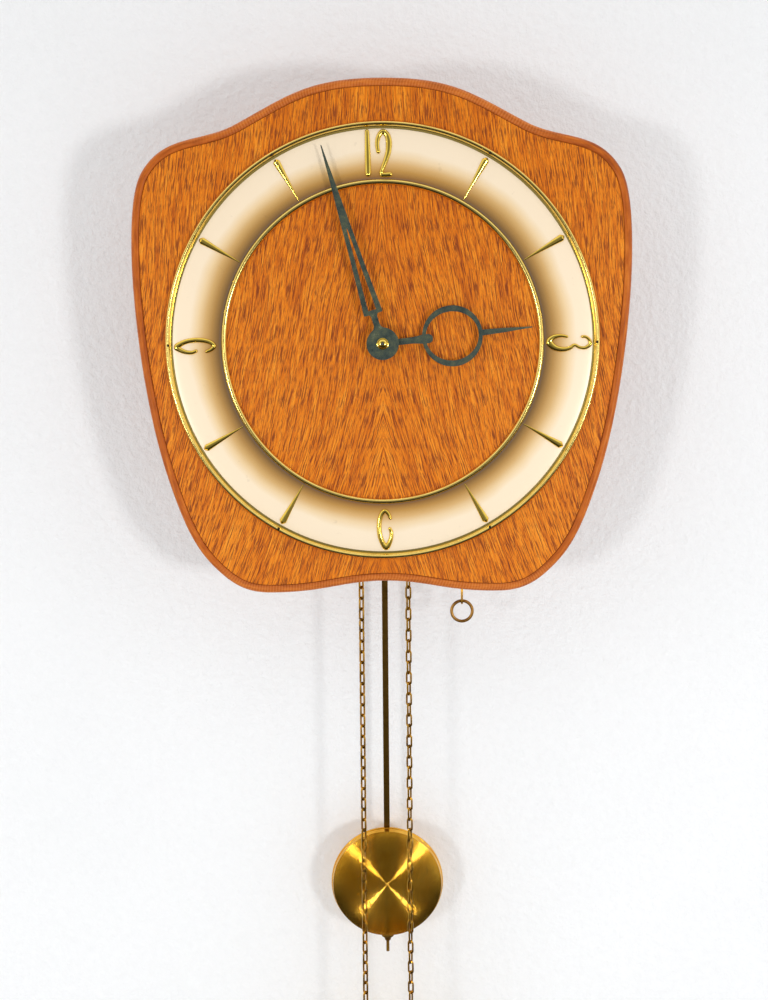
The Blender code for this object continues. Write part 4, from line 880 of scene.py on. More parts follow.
THREE = [(129.0, 3.8, 2.2), (124.8, 4.5, 2.6), (119.8, 3.5, 3.6), (117.0, 0.4, 4.8), (118.9, -2.5, 4.6),
         (122.4, -4.4, 4.0), (127.2, -5.0, 3.4), (131.6, -4.0, 2.8), (134.6, -2.1, 2.4), (138.2, -3.8, 2.3),
         (142.2, -4.0, 2.5), (145.5, -1.6, 2.7), (144.8, 1.6, 2.4), (142.2, 3.6, 2.2), (139.9, 3.7, 2.1)]
NINE = [(*clockwise([(x, z)], math.pi / 2)[0], wide) for x, z, wide in SIX]
FIGURES = {"figure_12": (ONE, TWO, FOOT), "figure_6": (SIX,), "figure_9": (NINE,), "figure_3": (THREE,)}
for name, strokes in FIGURES.items():
    raised = together(*[stroke(points) for points in strokes])
    finished(name, raised, FIGURE_BRASS, "clock", (), AT_DIAL, sharp=60)
print("figures raised to", round(RING_FACE - 1.5 * MM, 4))

# %% [markdown]
# ## Hour batons
# The other eight hours carry a baton: a wedge with a half-round section, wide at the rim and pointed
# at the middle, with a short sloping end. The tree lays one on each hour of a circle of twelve points
# and skips every third, where a figure stands.

# %% Batons
def baton_tree():
    tree = Tree(
        "hour_batons", Long=30.2 * MM, Wide=5.0 * MM, High=1.6 * MM, Slope=1.9 * MM, Inner=114.2 * MM)
    half = tree.maths("DIVIDE", tree.source["Wide"], 2.0)
    wedge = tree.add("GeometryNodeMeshCone", None, {
        "Vertices": 16, "Radius Top": 0.25 * MM, "Radius Bottom": half, "Depth": tree.source["Long"]})
    slope = tree.add("GeometryNodeMeshCone", None, {
        "Vertices": 16, "Radius Top": half, "Radius Bottom": tree.maths("MULTIPLY", half, 0.3),
        "Depth": tree.source["Slope"]})
    down = tree.add("ShaderNodeCombineXYZ", None, {"Z": tree.maths("MULTIPLY", tree.source["Slope"], -1.0)})
    lowered = tree.add("GeometryNodeTransform", None, {"Geometry": slope, "Translation": down})
    shape = tree.add("GeometryNodeJoinGeometry", None, {"Geometry": [wedge, lowered]})
    flat = tree.add("ShaderNodeCombineXYZ", None, {
        "X": 1.0, "Y": tree.maths("DIVIDE", tree.source["High"], half), "Z": 1.0})
    reach = tree.maths("ADD", tree.source["Inner"], tree.source["Long"])
    up = tree.add("ShaderNodeCombineXYZ", None, {"Z": reach})
    laid = tree.add("GeometryNodeTransform", None, {
        "Geometry": shape, "Rotation": (math.pi, 0.0, 0.0), "Translation": up, "Scale": flat})
    hours = tree.add("GeometryNodeMeshLine", None, {"Count": 12, "Offset": (0.0, 0.0, 0.0)})
    index = tree.add("GeometryNodeInputIndex")
    third = tree.maths("MODULO", index, 3.0)
    plain = tree.add(
        "FunctionNodeCompare", {"data_type": "FLOAT", "operation": "GREATER_THAN"}, {0: third, 1: 0.5})
    turn = tree.add("ShaderNodeCombineXYZ", None, {"Y": tree.maths("MULTIPLY", index, TURN / 12)})
    placed = tree.add("GeometryNodeInstanceOnPoints", None, {
        "Points": hours, "Selection": plain, "Instance": laid, "Rotation": turn})
    return tree.finish(placed, FIGURE_BRASS)


batons = run(baton_tree(), [(0, 0, 0)])
on_ring = (DIAL_X, RING_FACE, DIAL_Z)
finished("hour_batons", batons, FIGURE_BRASS, "clock", (), on_ring, sharp=30)
print("batons:", len(batons.polygons), "faces")

# %% [markdown]
# ## Bezel nails
# Six small round-headed nails hold the bezel to the board. Their places come from the nails of the
# frame, and the tree sets one domed head and shank on each point.

# %% Nails
def nail_tree():
    tree = Tree("round_headed_nails", Head=0.95 * MM, Shank=0.45 * MM, Deep=4.2 * MM)
    dome = tree.add("GeometryNodeMeshUVSphere", None, {
        "Segments": 16, "Rings": 8, "Radius": tree.source["Head"]})
    low_dome = tree.add("GeometryNodeTransform", None, {"Geometry": dome, "Scale": (1.0, 0.6, 1.0)})
    shank = tree.add("GeometryNodeMeshCylinder", None, {
        "Vertices": 10, "Radius": tree.source["Shank"], "Depth": tree.source["Deep"]})
    back = tree.add("ShaderNodeCombineXYZ", None, {"Y": tree.maths("DIVIDE", tree.source["Deep"], 2.0)})
    laid = tree.add("GeometryNodeTransform", None, {
        "Geometry": shank, "Rotation": (math.pi / 2, 0.0, 0.0), "Translation": back})
    nail = tree.add("GeometryNodeJoinGeometry", None, {"Geometry": [low_dome, laid]})
    points = tree.add("GeometryNodeMeshToPoints", None, {"Mesh": tree.source["Geometry"]})
    placed = tree.add("GeometryNodeInstanceOnPoints", None, {"Points": points, "Instance": nail})
    return tree.finish(placed, NAIL_STEEL)


spots = []
for number in range(1, 7):
    low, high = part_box(f"bezel_pin_{number}")
    spots.append(((low.x + high.x) / 2, low.y + 0.75 * MM, (low.z + high.z) / 2))
nails = run(nail_tree(), spots)
finished("bezel_nails", nails, NAIL_STEEL, "clock", [f"bezel_pin_{n}" for n in range(1, 7)])
print("nails:", len(spots))

# %% [markdown]
# ## Hands
# The hands are stamped from thin brass: the minute hand has a round hub, a short neck and a blade
# split by a long slit, and the hour hand carries an open ring on a spoon-ended arm. They are drawn as
# flat outlines pointing up, turned to the time, given their thickness and a fine rounded edge.

# %% Hands
MINUTE_AT, HOUR_AT = math.radians(-16.9), math.radians(84.1)
minute_front, minute_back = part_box("minute_hand")[0].y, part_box("minute_hand")[1].y
hour_front, hour_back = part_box("hour_hand")[0].y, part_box("hour_hand")[1].y
hub = [polar(11.3, math.radians(a)) for a in range(-80, 72, 8)]
half = hub + [(3.1, 11.3), (2.45, 12.5), (2.2, 14), (2.2, 20), (2.9, 21.3), (6.7, 21.6), (6.65, 23.4),
              (4.4, 60), (3.3, 82.6), (1.75, 114), (0.35, 141.5)]
blade = clockwise(in_mm([(0.0, -11.3)] + mirrored(half)), MINUTE_AT)
slit = clockwise(in_mm(mirrored([(2.8, 24.2), (2.3, 36), (1.1, 62), (0.3, 82.6)])), MINUTE_AT)
minute = sheet_cut(blade, minute_front, minute_back, [circle(2.95 * MM, 32), slit])
finished("minute_hand_blade", minute, PATINA, "minute_train", "minute_hand", AT_DIAL,
         bevel=0.16 * MM)

eye = [(17.0 * math.cos(a), 48.9 + 18.5 * math.sin(a)) for a in (TURN * k / 72 for k in range(72))]
ring = sheet_cut(clockwise(in_mm(circle(21.2, 72, (0, 49.0))), HOUR_AT), hour_front + 0.12 * MM, hour_back,
                 [clockwise(in_mm(eye), HOUR_AT)])
arm_half = [(2.2, 6.0), (2.2, 20), (2.35, 22.5), (3.1, 27.8), (3.25, 30), (3.2, 33), (2.2, 34.6), (0.8, 35.3)]
arm = sheet_cut(clockwise(in_mm(mirrored(arm_half)), HOUR_AT), hour_front, hour_back - 0.04 * MM)
point_half = [(1.9, 67.4), (2.1, 69.4), (1.6, 85), (0.35, 105.1)]
point_outline = clockwise(in_mm(mirrored(point_half)), HOUR_AT)
pointer = sheet_cut(point_outline, hour_front + 0.06 * MM, hour_back - 0.02 * MM)
pipe_hole = 4.5 * MM
boss = [(pipe_hole, hour_front - 0.02 * MM), (8.2 * MM, hour_front - 0.02 * MM),
        (8.5 * MM, hour_front + 0.2 * MM), (8.5 * MM, hour_back), (pipe_hole, hour_back)]
hour = together(ring, arm, pointer, turned(boss, 48))
finished("hour_hand_plate", hour, PATINA, "hour_train", "hour_hand", AT_DIAL, bevel=0.14 * MM)
print("hands at y", round(hour_front, 4), round(minute_front, 4))

# %% [markdown]
# ## Hand nut
# A small domed brass nut, turned and drilled, holds the minute hand. Its base has a thin washer edge.

# %% Hand nut
nut_low, nut_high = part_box("hand_nut")
foot, top = nut_high.y, nut_low.y
NUT_BORE = 1.15 * MM
dome = [(NUT_BORE, foot), (4.1 * MM, foot), (4.1 * MM, foot - 0.5 * MM), (3.6 * MM, foot - 0.62 * MM),
        (3.55 * MM, foot - 0.9 * MM)]
dome += [(0.9 * MM + 2.6 * MM * math.cos(a), foot - 1.0 * MM - (foot - 1.0 * MM - top) * math.sin(a))
         for a in (math.pi / 2 * k / 9 for k in range(10))]
dome = [(max(r, NUT_BORE), y) for r, y in dome]
finished("domed_hand_nut", turned(dome, 48), FIGURE_BRASS, "minute_train", "hand_nut",
         AT_DIAL)
print("nut from", round(foot, 4), "to", round(top, 4))

# %% [markdown]
# ## Pendulum rod and its thread
# The rod is a flat brass bar, and the end below the bob is cut with a thread for the rating nut. The
# tree stacks low rings along the end, which at this size reads as the thread and stays light.

# %% Pendulum rod
rod_low, rod_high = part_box("pendulum_rod")
rod_x = (rod_low.x + rod_high.x) / 2
bob_foot = BOB_LOW.z
bar = block((rod_x - 2.3 * MM, PENDULUM_Y - 0.6 * MM, bob_foot + 4 * MM),
            (rod_x + 2.3 * MM, PENDULUM_Y + 0.6 * MM, rod_high.z))
finished("rod_bar", bar, DULL_BRASS, "pendulum", "pendulum_rod", bevel=0.3 * MM)


def thread_tree():
    tree = Tree("stub_thread", Radius=1.3 * MM, Pitch=0.55 * MM, Turns=26)
    crest = tree.add("GeometryNodeMeshCone", None, {
        "Vertices": 16, "Radius Top": tree.maths("MULTIPLY", tree.source["Radius"], 0.8),
        "Radius Bottom": tree.source["Radius"], "Depth": tree.maths("MULTIPLY", tree.source["Pitch"], 0.98)})
    step = tree.add("ShaderNodeCombineXYZ", None, {"Z": tree.source["Pitch"]})
    line = tree.add("GeometryNodeMeshLine", None, {"Count": tree.source["Turns"], "Offset": step})
    placed = tree.add("GeometryNodeInstanceOnPoints", None, {"Points": line, "Instance": crest})
    return tree.finish(placed, DULL_BRASS)


thread = run(thread_tree(), [(0, 0, 0)])
finished("rod_thread", thread, DULL_BRASS, "pendulum", (), (rod_x, PENDULUM_Y, rod_low.z))
print("rod from", round(rod_high.z, 4), "to", round(rod_low.z, 4))

# %% [markdown]
# ## Bob
# The bob is a disc with a flat face that falls away close to its rim. It is turned, so one profile spun
# about an axis from front to back makes it, and the round grooves are left to the finish.

# %% Bob
bob_r = (BOB_HIGH.x - BOB_LOW.x) / 2
front, back = BOB_LOW.y, BOB_HIGH.y
thick = back - front
lens = [(0, front)]
for step in range(1, 20):
    share = 0.965 * step / 19
    lens.append((share * bob_r, front + 0.3 * thick * share**9))
lens += [(0.985 * bob_r, front + 0.68 * thick), (0.996 * bob_r, front + 0.72 * thick),
         (bob_r, front + 0.78 * thick), (bob_r, back - 0.5 * MM), (0.994 * bob_r, back), (0, back)]
bob = turned(lens, 128, centre=(BOB_CENTRE.x, 0, BOB_CENTRE.z), solid=True)
finished("bob_disc", bob, BOB_BRASS, "bob", "pendulum_bob", sharp=40)
print("bob", round(2 * bob_r, 4), "wide and", round(thick, 4), "deep")

# %% [markdown]
# ## Rating nut
# Turning this knurled nut raises the bob and makes the clock gain. The knurl is a ring of ridges round
# a flange at the top, so its outline is a fine star, and a smooth collar narrows below it.

# %% Rating nut
rating_low, rating_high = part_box("rating_nut")
rating_r = (rating_high.x - rating_low.x) / 2
RIDGES = 36


def knurled(radius, low, high, bore):
    bm = bmesh.new()
    rows = []
    waist = low + 0.56 * (high - low)
    levels = (
        (bore, low, 0), (radius * 0.44, low, 0), (radius * 0.5, low + 0.4 * MM, 0),
        (radius * 0.66, waist, 0), (radius * 0.93, waist + 0.3 * MM, 0),
        (radius, waist + 0.5 * MM, 1), (radius, high - 0.5 * MM, 1), (radius * 0.93, high, 0),
        (bore, high, 0),
    )
    for r, z, ridged in levels:
        row = []
        for k in range(2 * RIDGES):
            x, y = polar(r * (1 - 0.05 * ridged * (k % 2)), TURN * k / (2 * RIDGES))
            row.append(bm.verts.new((x, y, z)))
        rows.append(row)
    for first, second in zip(rows, rows[1:] + rows[:1]):
        for k in range(2 * RIDGES):
            after = (k + 1) % (2 * RIDGES)
            bm.faces.new((first[k], first[after], second[after], second[k]))
    return mesh_of(bm)


nut = knurled(rating_r, rating_low.z, rating_high.z, 1.4 * MM)
finished("knurled_rating_nut", nut, DULL_BRASS, "bob", "rating_nut", (rod_x, PENDULUM_Y, 0))
print("rating nut", round(2 * rating_r, 4), "wide,", RIDGES, "ridges")

# %% [markdown]
# ## Chains
# Each chain is real links, long ovals of brass wire, every one turned a quarter from the last. The
# tree takes a path, spaces points along it and sets a link on each with its long side down the path.
# The chain comes in lengths, because each length moves with its own body: over the sprocket, down to
# the weight, and down to the pull ring.

# %% Chain tree
LINK_PITCH = 8.15 * MM
LINK_WIDE = 3.75 * MM  # between the middles of a link's two sides
WIRE_R = 0.74 * MM


def chain_tree():
    tree = Tree("chain_links", Pitch=LINK_PITCH, Wide=LINK_WIDE, Wire=WIRE_R, Twist=0.5)
    length = tree.maths("ADD", tree.source["Pitch"], tree.maths("MULTIPLY", tree.source["Wire"], 2.0))
    oval = tree.add("GeometryNodeCurvePrimitiveQuadrilateral", None,
                    {"Width": tree.source["Wide"], "Height": length})
    rounded = tree.add("GeometryNodeFilletCurve", {"mode": "POLY"}, {
        "Curve": oval, "Count": 4, "Radius": tree.maths("MULTIPLY", tree.source["Wide"], 0.499)})
    wire = tree.add("GeometryNodeCurvePrimitiveCircle", None, {
        "Resolution": 8, "Radius": tree.source["Wire"]})
    link = tree.add("GeometryNodeCurveToMesh", None, {"Curve": rounded, "Profile Curve": wire})
    path = tree.add("GeometryNodeMeshToCurve", None, {"Mesh": tree.source["Geometry"]})
    beads = tree.add("GeometryNodeCurveToPoints", {"mode": "EVALUATED"}, {"Curve": path})
    spaced = tree.group.nodes[-1].outputs
    along = tree.add("FunctionNodeAlignRotationToVector", {"axis": "Y"}, {"Vector": spaced["Tangent"]})
    odd = tree.maths("MODULO", tree.add("GeometryNodeInputIndex"), 2.0)
    quarter = tree.maths("ADD", tree.maths("MULTIPLY", odd, TURN / 4), tree.source["Twist"])
    spin = tree.add("ShaderNodeCombineXYZ", None, {"Y": quarter})
    turned_link = tree.add("FunctionNodeRotateRotation", {"rotation_space": "LOCAL"},
                           {"Rotation": along, "Rotate By": spin})
    placed = tree.add("GeometryNodeInstanceOnPoints", None, {
        "Points": beads, "Instance": link, "Rotation": turned_link})
    return tree.finish(placed, CHAIN_BRASS)


CHAIN_TREE = chain_tree()


def chain(points, twist, gauge=1.0):
    """Links whose middles are the points, in order, of full or finer wire."""
    pairs = [(k, k + 1) for k in range(len(points) - 1)]
    return run(CHAIN_TREE, points, pairs, Twist=twist, Wire=WIRE_R * gauge)


def straight(x, top, bottom, start=0.0):
    """Middles of links down a straight run, from the top."""
    count = int((top - bottom - start) / LINK_PITCH) + 1
    return [(x, CHAIN_Y, top - start - k * LINK_PITCH) for k in range(count)]


print("link", round(LINK_PITCH + 4 * WIRE_R, 4), "long, wire", round(2 * WIRE_R, 4))

# %% [markdown]
# ## Lengths of chain
# The length over the sprocket doesn't move. The run below it, inside the case and just under it, gets
# shorter as the weight is wound up; it stays on the case's body with a mesh of its own, and the lower
# length rides with the weight. The tail rides with the pull ring, and a finer reserve of links
# inside it fills the gap that opens when the ring is pulled down.

# %% Lay the chains
TRAVEL = {j["name"]: j["range_m"][1] for j in frame["joints"] if "range_m" in j}
TAIL_END = {}
for side, sign, twist in (("time", -1, 0.75), ("strike", 1, 0.54)):
    spool_low, spool_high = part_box(f"{side}_sprocket")
    axle_x, axle_z = (spool_low.x + spool_high.x) / 2, (spool_low.z + spool_high.z) / 2
    lower_low, lower_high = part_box(f"{side}_chain_lower")
    weight_x = (lower_low.x + lower_high.x) / 2
    ring_low, ring_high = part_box(f"{side}_pull_ring")
    ring_x = (ring_low.x + ring_high.x) / 2
    reach = abs(weight_x - axle_x)
    steps = int(math.pi * reach / LINK_PITCH)
    over = [(axle_x + sign * reach * math.cos(math.pi * k / steps), CHAIN_Y,
             axle_z + reach * math.sin(math.pi * k / steps)) for k in range(steps + 1)]
    tail_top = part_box(f"{side}_chain_tail")[1].z
    down = straight(ring_x, axle_z - LINK_PITCH, tail_top)
    first_tail = down[-1][2] - LINK_PITCH
    tail = straight(ring_x, first_tail, ring_high.z + 9 * MM)
    TAIL_END[side] = tail[-1][2] - LINK_PITCH / 2 + WIRE_R
    upper = straight(weight_x, axle_z - LINK_PITCH, lower_high.z)
    lower = straight(weight_x, upper[-1][2] - LINK_PITCH, lower_low.z)
    reserve = straight(ring_x, first_tail, first_tail - TRAVEL[f"{side}_wind"])
    odd = {name: len(before) % 2 * TURN / 4 for name, before in (
        ("down", over), ("tail", over + down), ("lower", upper))}
    still = together(
        chain(over, twist), chain(down, twist + odd["down"]), chain(reserve, twist + odd["tail"], 0.9))
    finished(f"{side}_chain_over_sprocket", still, CHAIN_BRASS, "clock", f"{side}_chain_upper")
    drawn_up = finished(f"{side}_chain_run", chain(upper, twist + TURN / 4), CHAIN_BRASS, "clock", ())
    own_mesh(drawn_up)
    finished(f"{side}_chain_to_weight", chain(lower, twist + TURN / 4 + odd["lower"]), CHAIN_BRASS,
             f"{side}_load", f"{side}_chain_lower")
    finished(f"{side}_chain_to_ring", chain(tail, twist + odd["tail"]), CHAIN_BRASS, f"{side}_pull",
             f"{side}_chain_tail")
    print(side, "links:", len(over) + len(down), len(upper), len(lower), len(tail))

# %% [markdown]
# ## Pull rings
# A small wire ring ends each chain, for the finger that winds the clock. It hangs from one longer
# link, which is seen edge-on. A ring is a circle of wire spun about its own axis.

# %% Pull rings
def wire_ring(radius, wire, centre, axis=(0, 1, 0), steps=64):
    section = [(radius + wire * math.cos(a), wire * math.sin(a)) for a in (TURN * k / 16 for k in range(16))]
    return turned(section, steps, axis, centre)


def long_link(x, top, bottom, turn):
    """One closed link of wire that reaches from top to bottom, its face turned about the vertical."""
    bm = bmesh.new()
    wide, steps, around = LINK_WIDE / 2, 12, 10
    middle, straight_half = (top + bottom) / 2, (top - bottom) / 2 - LINK_WIDE / 2
    spine = []
    for end in (1, -1):
        for k in range(steps + 1):
            a = math.pi * k / steps if end == 1 else math.pi * (1 + k / steps)
            out = Vector((math.cos(a), 0, math.sin(a)))
            spine.append((out * wide + Vector((0, 0, end * straight_half)), out))
    rows = []
    for at, out in spine:
        rows.append([bm.verts.new(at + WIRE_R * (math.cos(TURN * k / around) * out
                                                 + math.sin(TURN * k / around) * Vector((0, 1, 0))))
                     for k in range(around)])
    for first, second in zip(rows, rows[1:] + rows[:1]):
        for k in range(around):
            after = (k + 1) % around
            bm.faces.new((first[k], first[after], second[after], second[k]))
    place = Matrix.Translation((x, CHAIN_Y, middle)) @ Matrix.Rotation(turn, 4, "Z")
    bmesh.ops.transform(bm, matrix=place, verts=bm.verts)
    return mesh_of(bm)


for side in ("time", "strike"):
    low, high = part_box(f"{side}_pull_ring")
    wire = (high.y - low.y) / 2
    ring_x, ring_z = (low.x + high.x) / 2, (low.z + high.z) / 2
    ring = wire_ring((high.x - low.x) / 2 - wire, wire, (ring_x, CHAIN_Y, ring_z))
    hanger = long_link(ring_x, TAIL_END[side] + WIRE_R, high.z - 2 * wire - WIRE_R, TURN / 4)
    finished(f"{side}_finger_ring", ring, RING_BRASS, f"{side}_pull", f"{side}_pull_ring")
    finished(f"{side}_ring_link", hanger, CHAIN_BRASS, f"{side}_pull", ())
print("rings", round(2 * (high.x - low.x), 4), "wire", round(2 * wire, 4))

# %% [markdown]
# ## Weights
# Each weight is a brass tube round an iron core, with a rolled bead at both ends and a turned cap.
# An eye on a short stem takes the last link of the chain.

# %% Weights
for side in ("time", "strike"):
    low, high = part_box(f"{side}_weight")
    x, radius = (low.x + high.x) / 2, (high.x - low.x) / 2
    top = high.z - 19.0 * MM
    rim = [(12.6, 1.2), (13.0, 0.25), (13.6, 0.0), (15.1, 0.0), (15.75, 0.5), (16, 1.3), (16, 2.8),
           (15.85, 3.3)]
    profile = [(0, low.z + 1.2 * MM)] + [(r * MM, low.z + up * MM) for r, up in rim]
    profile += [(r * MM, top - up * MM) for r, up in reversed(rim)]
    profile += [(5.4 * MM, top - 1.2 * MM), (5.2 * MM, top - 0.2 * MM), (4.4 * MM, top + 0.7 * MM),
                (2.6 * MM, top + 1.2 * MM), (1.9 * MM, top + 2.2 * MM), (1.9 * MM, top + 7.4 * MM),
                (0, top + 7.6 * MM)]
    tube = turned(profile, 96, (0, 0, 1), (x, CHAIN_Y, 0), solid=True)
    eye = wire_ring(4.9 * MM, 1.1 * MM, (x, CHAIN_Y, high.z - 6 * MM), steps=48)
    finished(f"{side}_weight_tube", together(tube, eye), WEIGHT_BRASS, f"{side}_load", f"{side}_weight",
             sharp=40)
print("weights", round(2 * radius, 4), "wide")

# %% [markdown]
# ## Working pieces with softened edges
# The plates, wheels, cocks and boards of the frame already have the right shape, but a real edge is
# never perfectly sharp. Each is copied, its loose triangles are joined into clean faces, and a fine
# bevel breaks its edges. On a wheel the steel arbor and pinion take their own finish: they are the
# faces close to the axis.

# %% Softened copies
def softened(node, finish, width, core=0.0, core_finish=None):
    source = frame["nodes"][node]
    bm = bmesh.new()
    bm.from_mesh(source.data)
    bmesh.ops.remove_doubles(bm, verts=bm.verts, dist=2e-6)
    bmesh.ops.dissolve_limit(bm, angle_limit=math.radians(1), verts=bm.verts, edges=bm.edges)
    mesh = bpy.data.meshes.new(node)
    bm.to_mesh(mesh)
    bm.free()
    low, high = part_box(node)
    middle = (low + high) / 2
    made = finished(f"{node}_finished", mesh, finish, source["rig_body"], node, bevel=width, sharp=30)
    if core:
        mesh.materials.append(core_finish)
        for face in mesh.polygons:
            from_axis = max(math.hypot(mesh.vertices[v].co.x - middle.x, mesh.vertices[v].co.z - middle.z)
                            for v in face.vertices)
            face.material_index = int(from_axis < core)
    return made


for node in ("front_plate", "back_plate"):
    softened(node, MOVEMENT_BRASS, 0.25 * MM)
for corner in ("upper_left", "upper_right", "lower_left", "lower_right"):
    softened(f"pillar_{corner}", MOVEMENT_BRASS, 0.2 * MM)
WHEELS = {"time_great_wheel": 4.2, "time_second_wheel": 4.6, "centre_wheel": 4.4, "third_wheel": 4.0,
          "escape_wheel": 3.0, "strike_great_wheel": 4.2, "pin_wheel": 4.6, "warning_wheel": 4.0,
          "minute_wheel": 3.0, "hour_wheel": 0.0, "cannon_pinion": 0.0, "time_sprocket": 0.0,
          "strike_sprocket": 0.0}
for node, core in WHEELS.items():
    softened(node, MOVEMENT_BRASS, 0.08 * MM, core * MM, STEEL)
for node in ("anchor", "hammer", "suspension_spring", "gong_rod"):
    softened(node, STEEL, 0.12 * MM)
softened("fly", MOVEMENT_BRASS, 0.06 * MM)
softened("suspension_cock", MOVEMENT_BRASS, 0.25 * MM)
softened("gong_block", IRON, 0.6 * MM)
print("softened wheels:", len(WHEELS))

# %% [markdown]
# ## Case boards
# The case is a plain box behind the board: a top, two sides, a seat board that carries the movement,
# and a thin back panel. Their edges are eased with sandpaper, which the wider bevel stands for.

# %% Case boards
CASE_BOARDS = ("case_top", "case_side_left", "case_side_right", "seat_board")
for node in CASE_BOARDS:
    softened(node, CASE_WOOD, 0.8 * MM)
softened("back_panel", PANEL_WOOD, 0.3 * MM)
softened("hanger_plate", STEEL, 0.2 * MM)
print("case boards:", len(CASE_BOARDS), "and a back panel")

# %% [markdown]
# ## Wood screws
# Slotted screws hold the case together. One tree makes the low domed head with its slot cut by a
# Boolean, and sets it on each point. Each run gives the places on one face, and a turn lays that face.

# %% Screws
def screw_tree():
    tree = Tree("slotted_screws", Head=3.1 * MM, Slot=0.7 * MM)
    ball = tree.add("GeometryNodeMeshUVSphere", None, {
        "Segments": 28, "Rings": 14, "Radius": tree.source["Head"]})
    dome = tree.add("GeometryNodeTransform", None, {"Geometry": ball, "Scale": (1.0, 1.0, 0.36)})
    long_side = tree.maths("MULTIPLY", tree.source["Head"], 2.4)
    size = tree.add("ShaderNodeCombineXYZ", None, {"X": long_side, "Y": tree.source["Slot"], "Z": 1.2 * MM})
    bar = tree.add("GeometryNodeMeshCube", None, {"Size": size})
    lifted = tree.add("GeometryNodeTransform", None, {"Geometry": bar, "Translation": (0.0, 0.0, 1.1 * MM)})
    head = tree.add("GeometryNodeMeshBoolean", {"operation": "DIFFERENCE", "solver": "EXACT"},
                    {"Mesh 1": dome, "Mesh 2": lifted})
    points = tree.add("GeometryNodeMeshToPoints", None, {"Mesh": tree.source["Geometry"]})
    angle = tree.add("FunctionNodeRandomValue", {"data_type": "FLOAT"}, {"Max": 3.0, "Seed": 4}, output=1)
    spin = tree.add("ShaderNodeCombineXYZ", None, {"Z": angle})
    placed = tree.add("GeometryNodeInstanceOnPoints", None, {
        "Points": points, "Instance": head, "Rotation": spin})
    return tree.finish(placed, STEEL)


SCREWS = screw_tree()
case_low, case_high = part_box("back_panel")[0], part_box("case_top")[1]
side_x = case_high.x - 5 * MM
top_spots = [(sign * side_x, y, case_high.z) for sign in (-1, 1) for y in (-70 * MM, -20 * MM)]
back_spots = [(sign * side_x, -z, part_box("back_panel")[1].y) for sign in (-1, 1)
              for z in (case_low.z + 12 * MM, (case_low.z + case_high.z) / 2, case_high.z - 12 * MM)]
upright = Matrix.Rotation(-math.pi / 2, 4, "X")
top_screws = run(SCREWS, [(x, y, z) for x, y, z in top_spots])
back_screws = run(SCREWS, [(x, z_as_y, y) for x, z_as_y, y in back_spots])
back_screws.transform(upright)
finished("case_screws", together(top_screws, back_screws), STEEL, "clock", (), sharp=30)
print("screws:", len(top_spots) + len(back_spots))

# %% [markdown]
# ## Check that every piece has a finish
# A piece of the frame that still shows would keep its plain colour, so the list of them is printed
# and must be empty.

# %% Pieces of the frame that still show
left = sorted(name for name, node in frame["nodes"].items() if not node.hide_render)
print("frame pieces still showing:", left)

# %% [markdown]
# ## Wall and floor
# The clock hangs on a white plastered wall, with a pale floor far below. Both are only a stage. The
# plaster is nearly white with a soft small relief. From behind it lets the view through, so the back
# of the clock can be seen as well.

# %% Wall and floor
def plaster_finish():
    f = Finish("white_plaster", Roughness=0.9, Specular_IOR_Level=0.15)
    where = f.place()
    lumps = f.noise(where, scale=170, detail=4, roughness=0.65)
    broad = f.noise(where, scale=5, detail=2)
    f.feed(Base_Color=f.blend(lumps * 0.5 + broad * 0.5, srgb(236, 237, 238), srgb(249, 250, 251)))
    f.bump(lumps, 1.8 * MM, 0.8)
    behind = f.add("ShaderNodeNewGeometry", output="Backfacing")
    clear = f.add("ShaderNodeBsdfTransparent")
    shown = f.add("ShaderNodeMixShader", None, {0: behind, 1: Wire(f, f.shader.outputs[0]), 2: clear})
    f.tree.links.new(shown.socket, f.tree.nodes["Material Output"].inputs["Surface"])
    return f.material


def staged(name, corners, finish):
    mesh = bpy.data.meshes.new(name)
    mesh.from_pydata(corners, [], [(0, 1, 2, 3)])
    mesh.materials.append(finish)
    made = bpy.data.objects.new(name, mesh)
    bpy.context.scene.collection.objects.link(made)
    return made


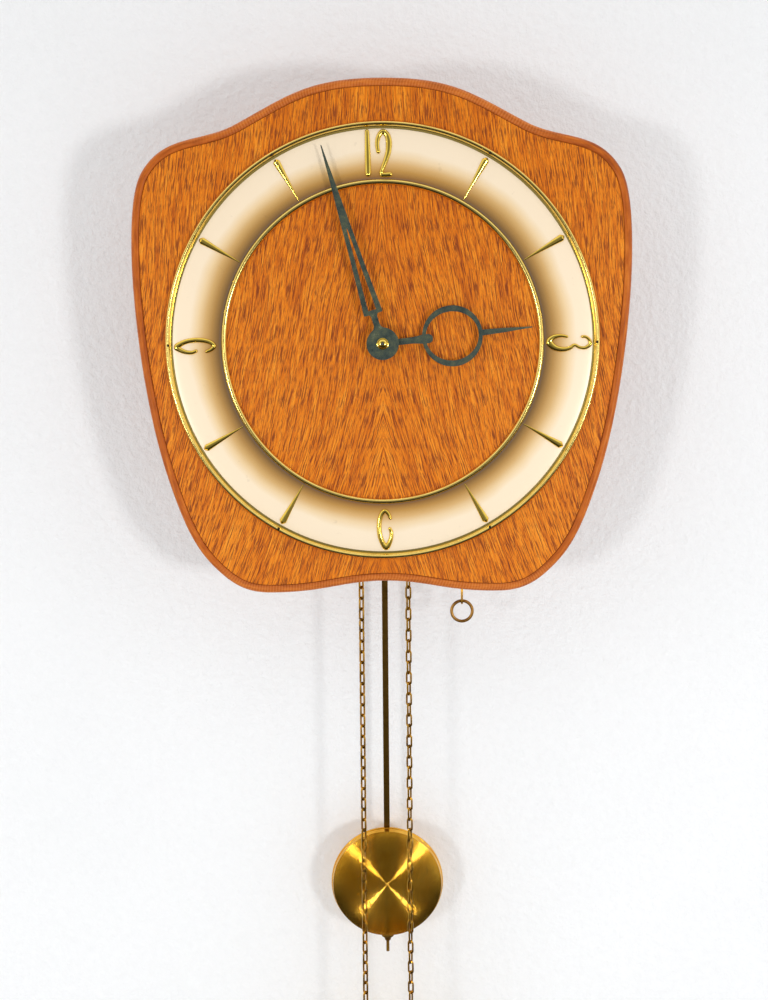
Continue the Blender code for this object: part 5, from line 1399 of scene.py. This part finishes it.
PLASTER = plaster_finish()
wall = staged("wall", [(-3, 1 * MM, -1.4), (3, 1 * MM, -1.4), (3, 1 * MM, 1.6), (-3, 1 * MM, 1.6)], PLASTER)
wall.visible_diffuse = wall.visible_shadow = False  # so daylight still reaches the back of the case
floor = staged("floor", [(-3, -4, -1.4), (3, -4, -1.4), (3, 1 * MM, -1.4), (-3, 1 * MM, -1.4)], PLASTER)
floor.visible_glossy = False  # the metal mirrors the dim lower sky instead
print("wall and floor ready")

# %% [markdown]
# ## Light
# Two large soft lamps stand in front at the left and the right, which throws a faint shadow to each
# side, and a bright sky fills the rest. The sky is dimmer behind the camera and below, as a room is,
# so polished brass that faces the camera or the floor stays deep and its other edges shine.

# %% Lamps and sky
def lamp(name, place, aim, size, power):
    data = bpy.data.lights.new(name, "AREA")
    data.shape, data.size, data.energy = "DISK", size, power
    made = bpy.data.objects.new(name, data)
    made.location = place
    made.rotation_euler = (Vector(aim) - Vector(place)).to_track_quat("-Z", "Y").to_euler()
    bpy.context.scene.collection.objects.link(made)
    return made


lamp("left_lamp", (-0.78, -1.43, -0.28), (0, 0, -0.2), 0.2, 4.6)
lamp("right_lamp", (0.78, -1.43, -0.28), (0, 0, -0.2), 0.2, 6.1)
sky = bpy.data.worlds.new("soft_sky")
sky.use_nodes = True
links, glow = sky.node_tree.links, sky.node_tree.nodes["Background"]
way = sky.node_tree.nodes.new("ShaderNodeTexCoord")
split = sky.node_tree.nodes.new("ShaderNodeSeparateXYZ")
both = sky.node_tree.nodes.new("ShaderNodeMath")
both.operation = "MULTIPLY"
links.new(way.outputs["Generated"], split.inputs[0])
DIMMING = [  # axis, where it is dimmest, where it is full, strength there and there
    ("Y", -0.97, -0.6, 0.25, 1.05),
    ("Z", -0.6, 0.05, 0.03, 1.0),
]
for place, (axis, dimmest, full, dim, bright) in enumerate(DIMMING):
    ramp = sky.node_tree.nodes.new("ShaderNodeMapRange")
    ramp.interpolation_type = "SMOOTHSTEP"
    limits = {"From Min": dimmest, "From Max": full, "To Min": dim, "To Max": bright}
    for socket, value in limits.items():
        ramp.inputs[socket].default_value = value
    links.new(split.outputs[axis], ramp.inputs["Value"])
    links.new(ramp.outputs[0], both.inputs[place])
links.new(both.outputs[0], glow.inputs["Strength"])
glow.inputs["Color"].default_value = (1.0, 1.0, 1.0, 1.0)
bpy.context.scene.world = sky
bpy.context.scene.view_settings.view_transform = "Standard"
print("lamps and sky ready")
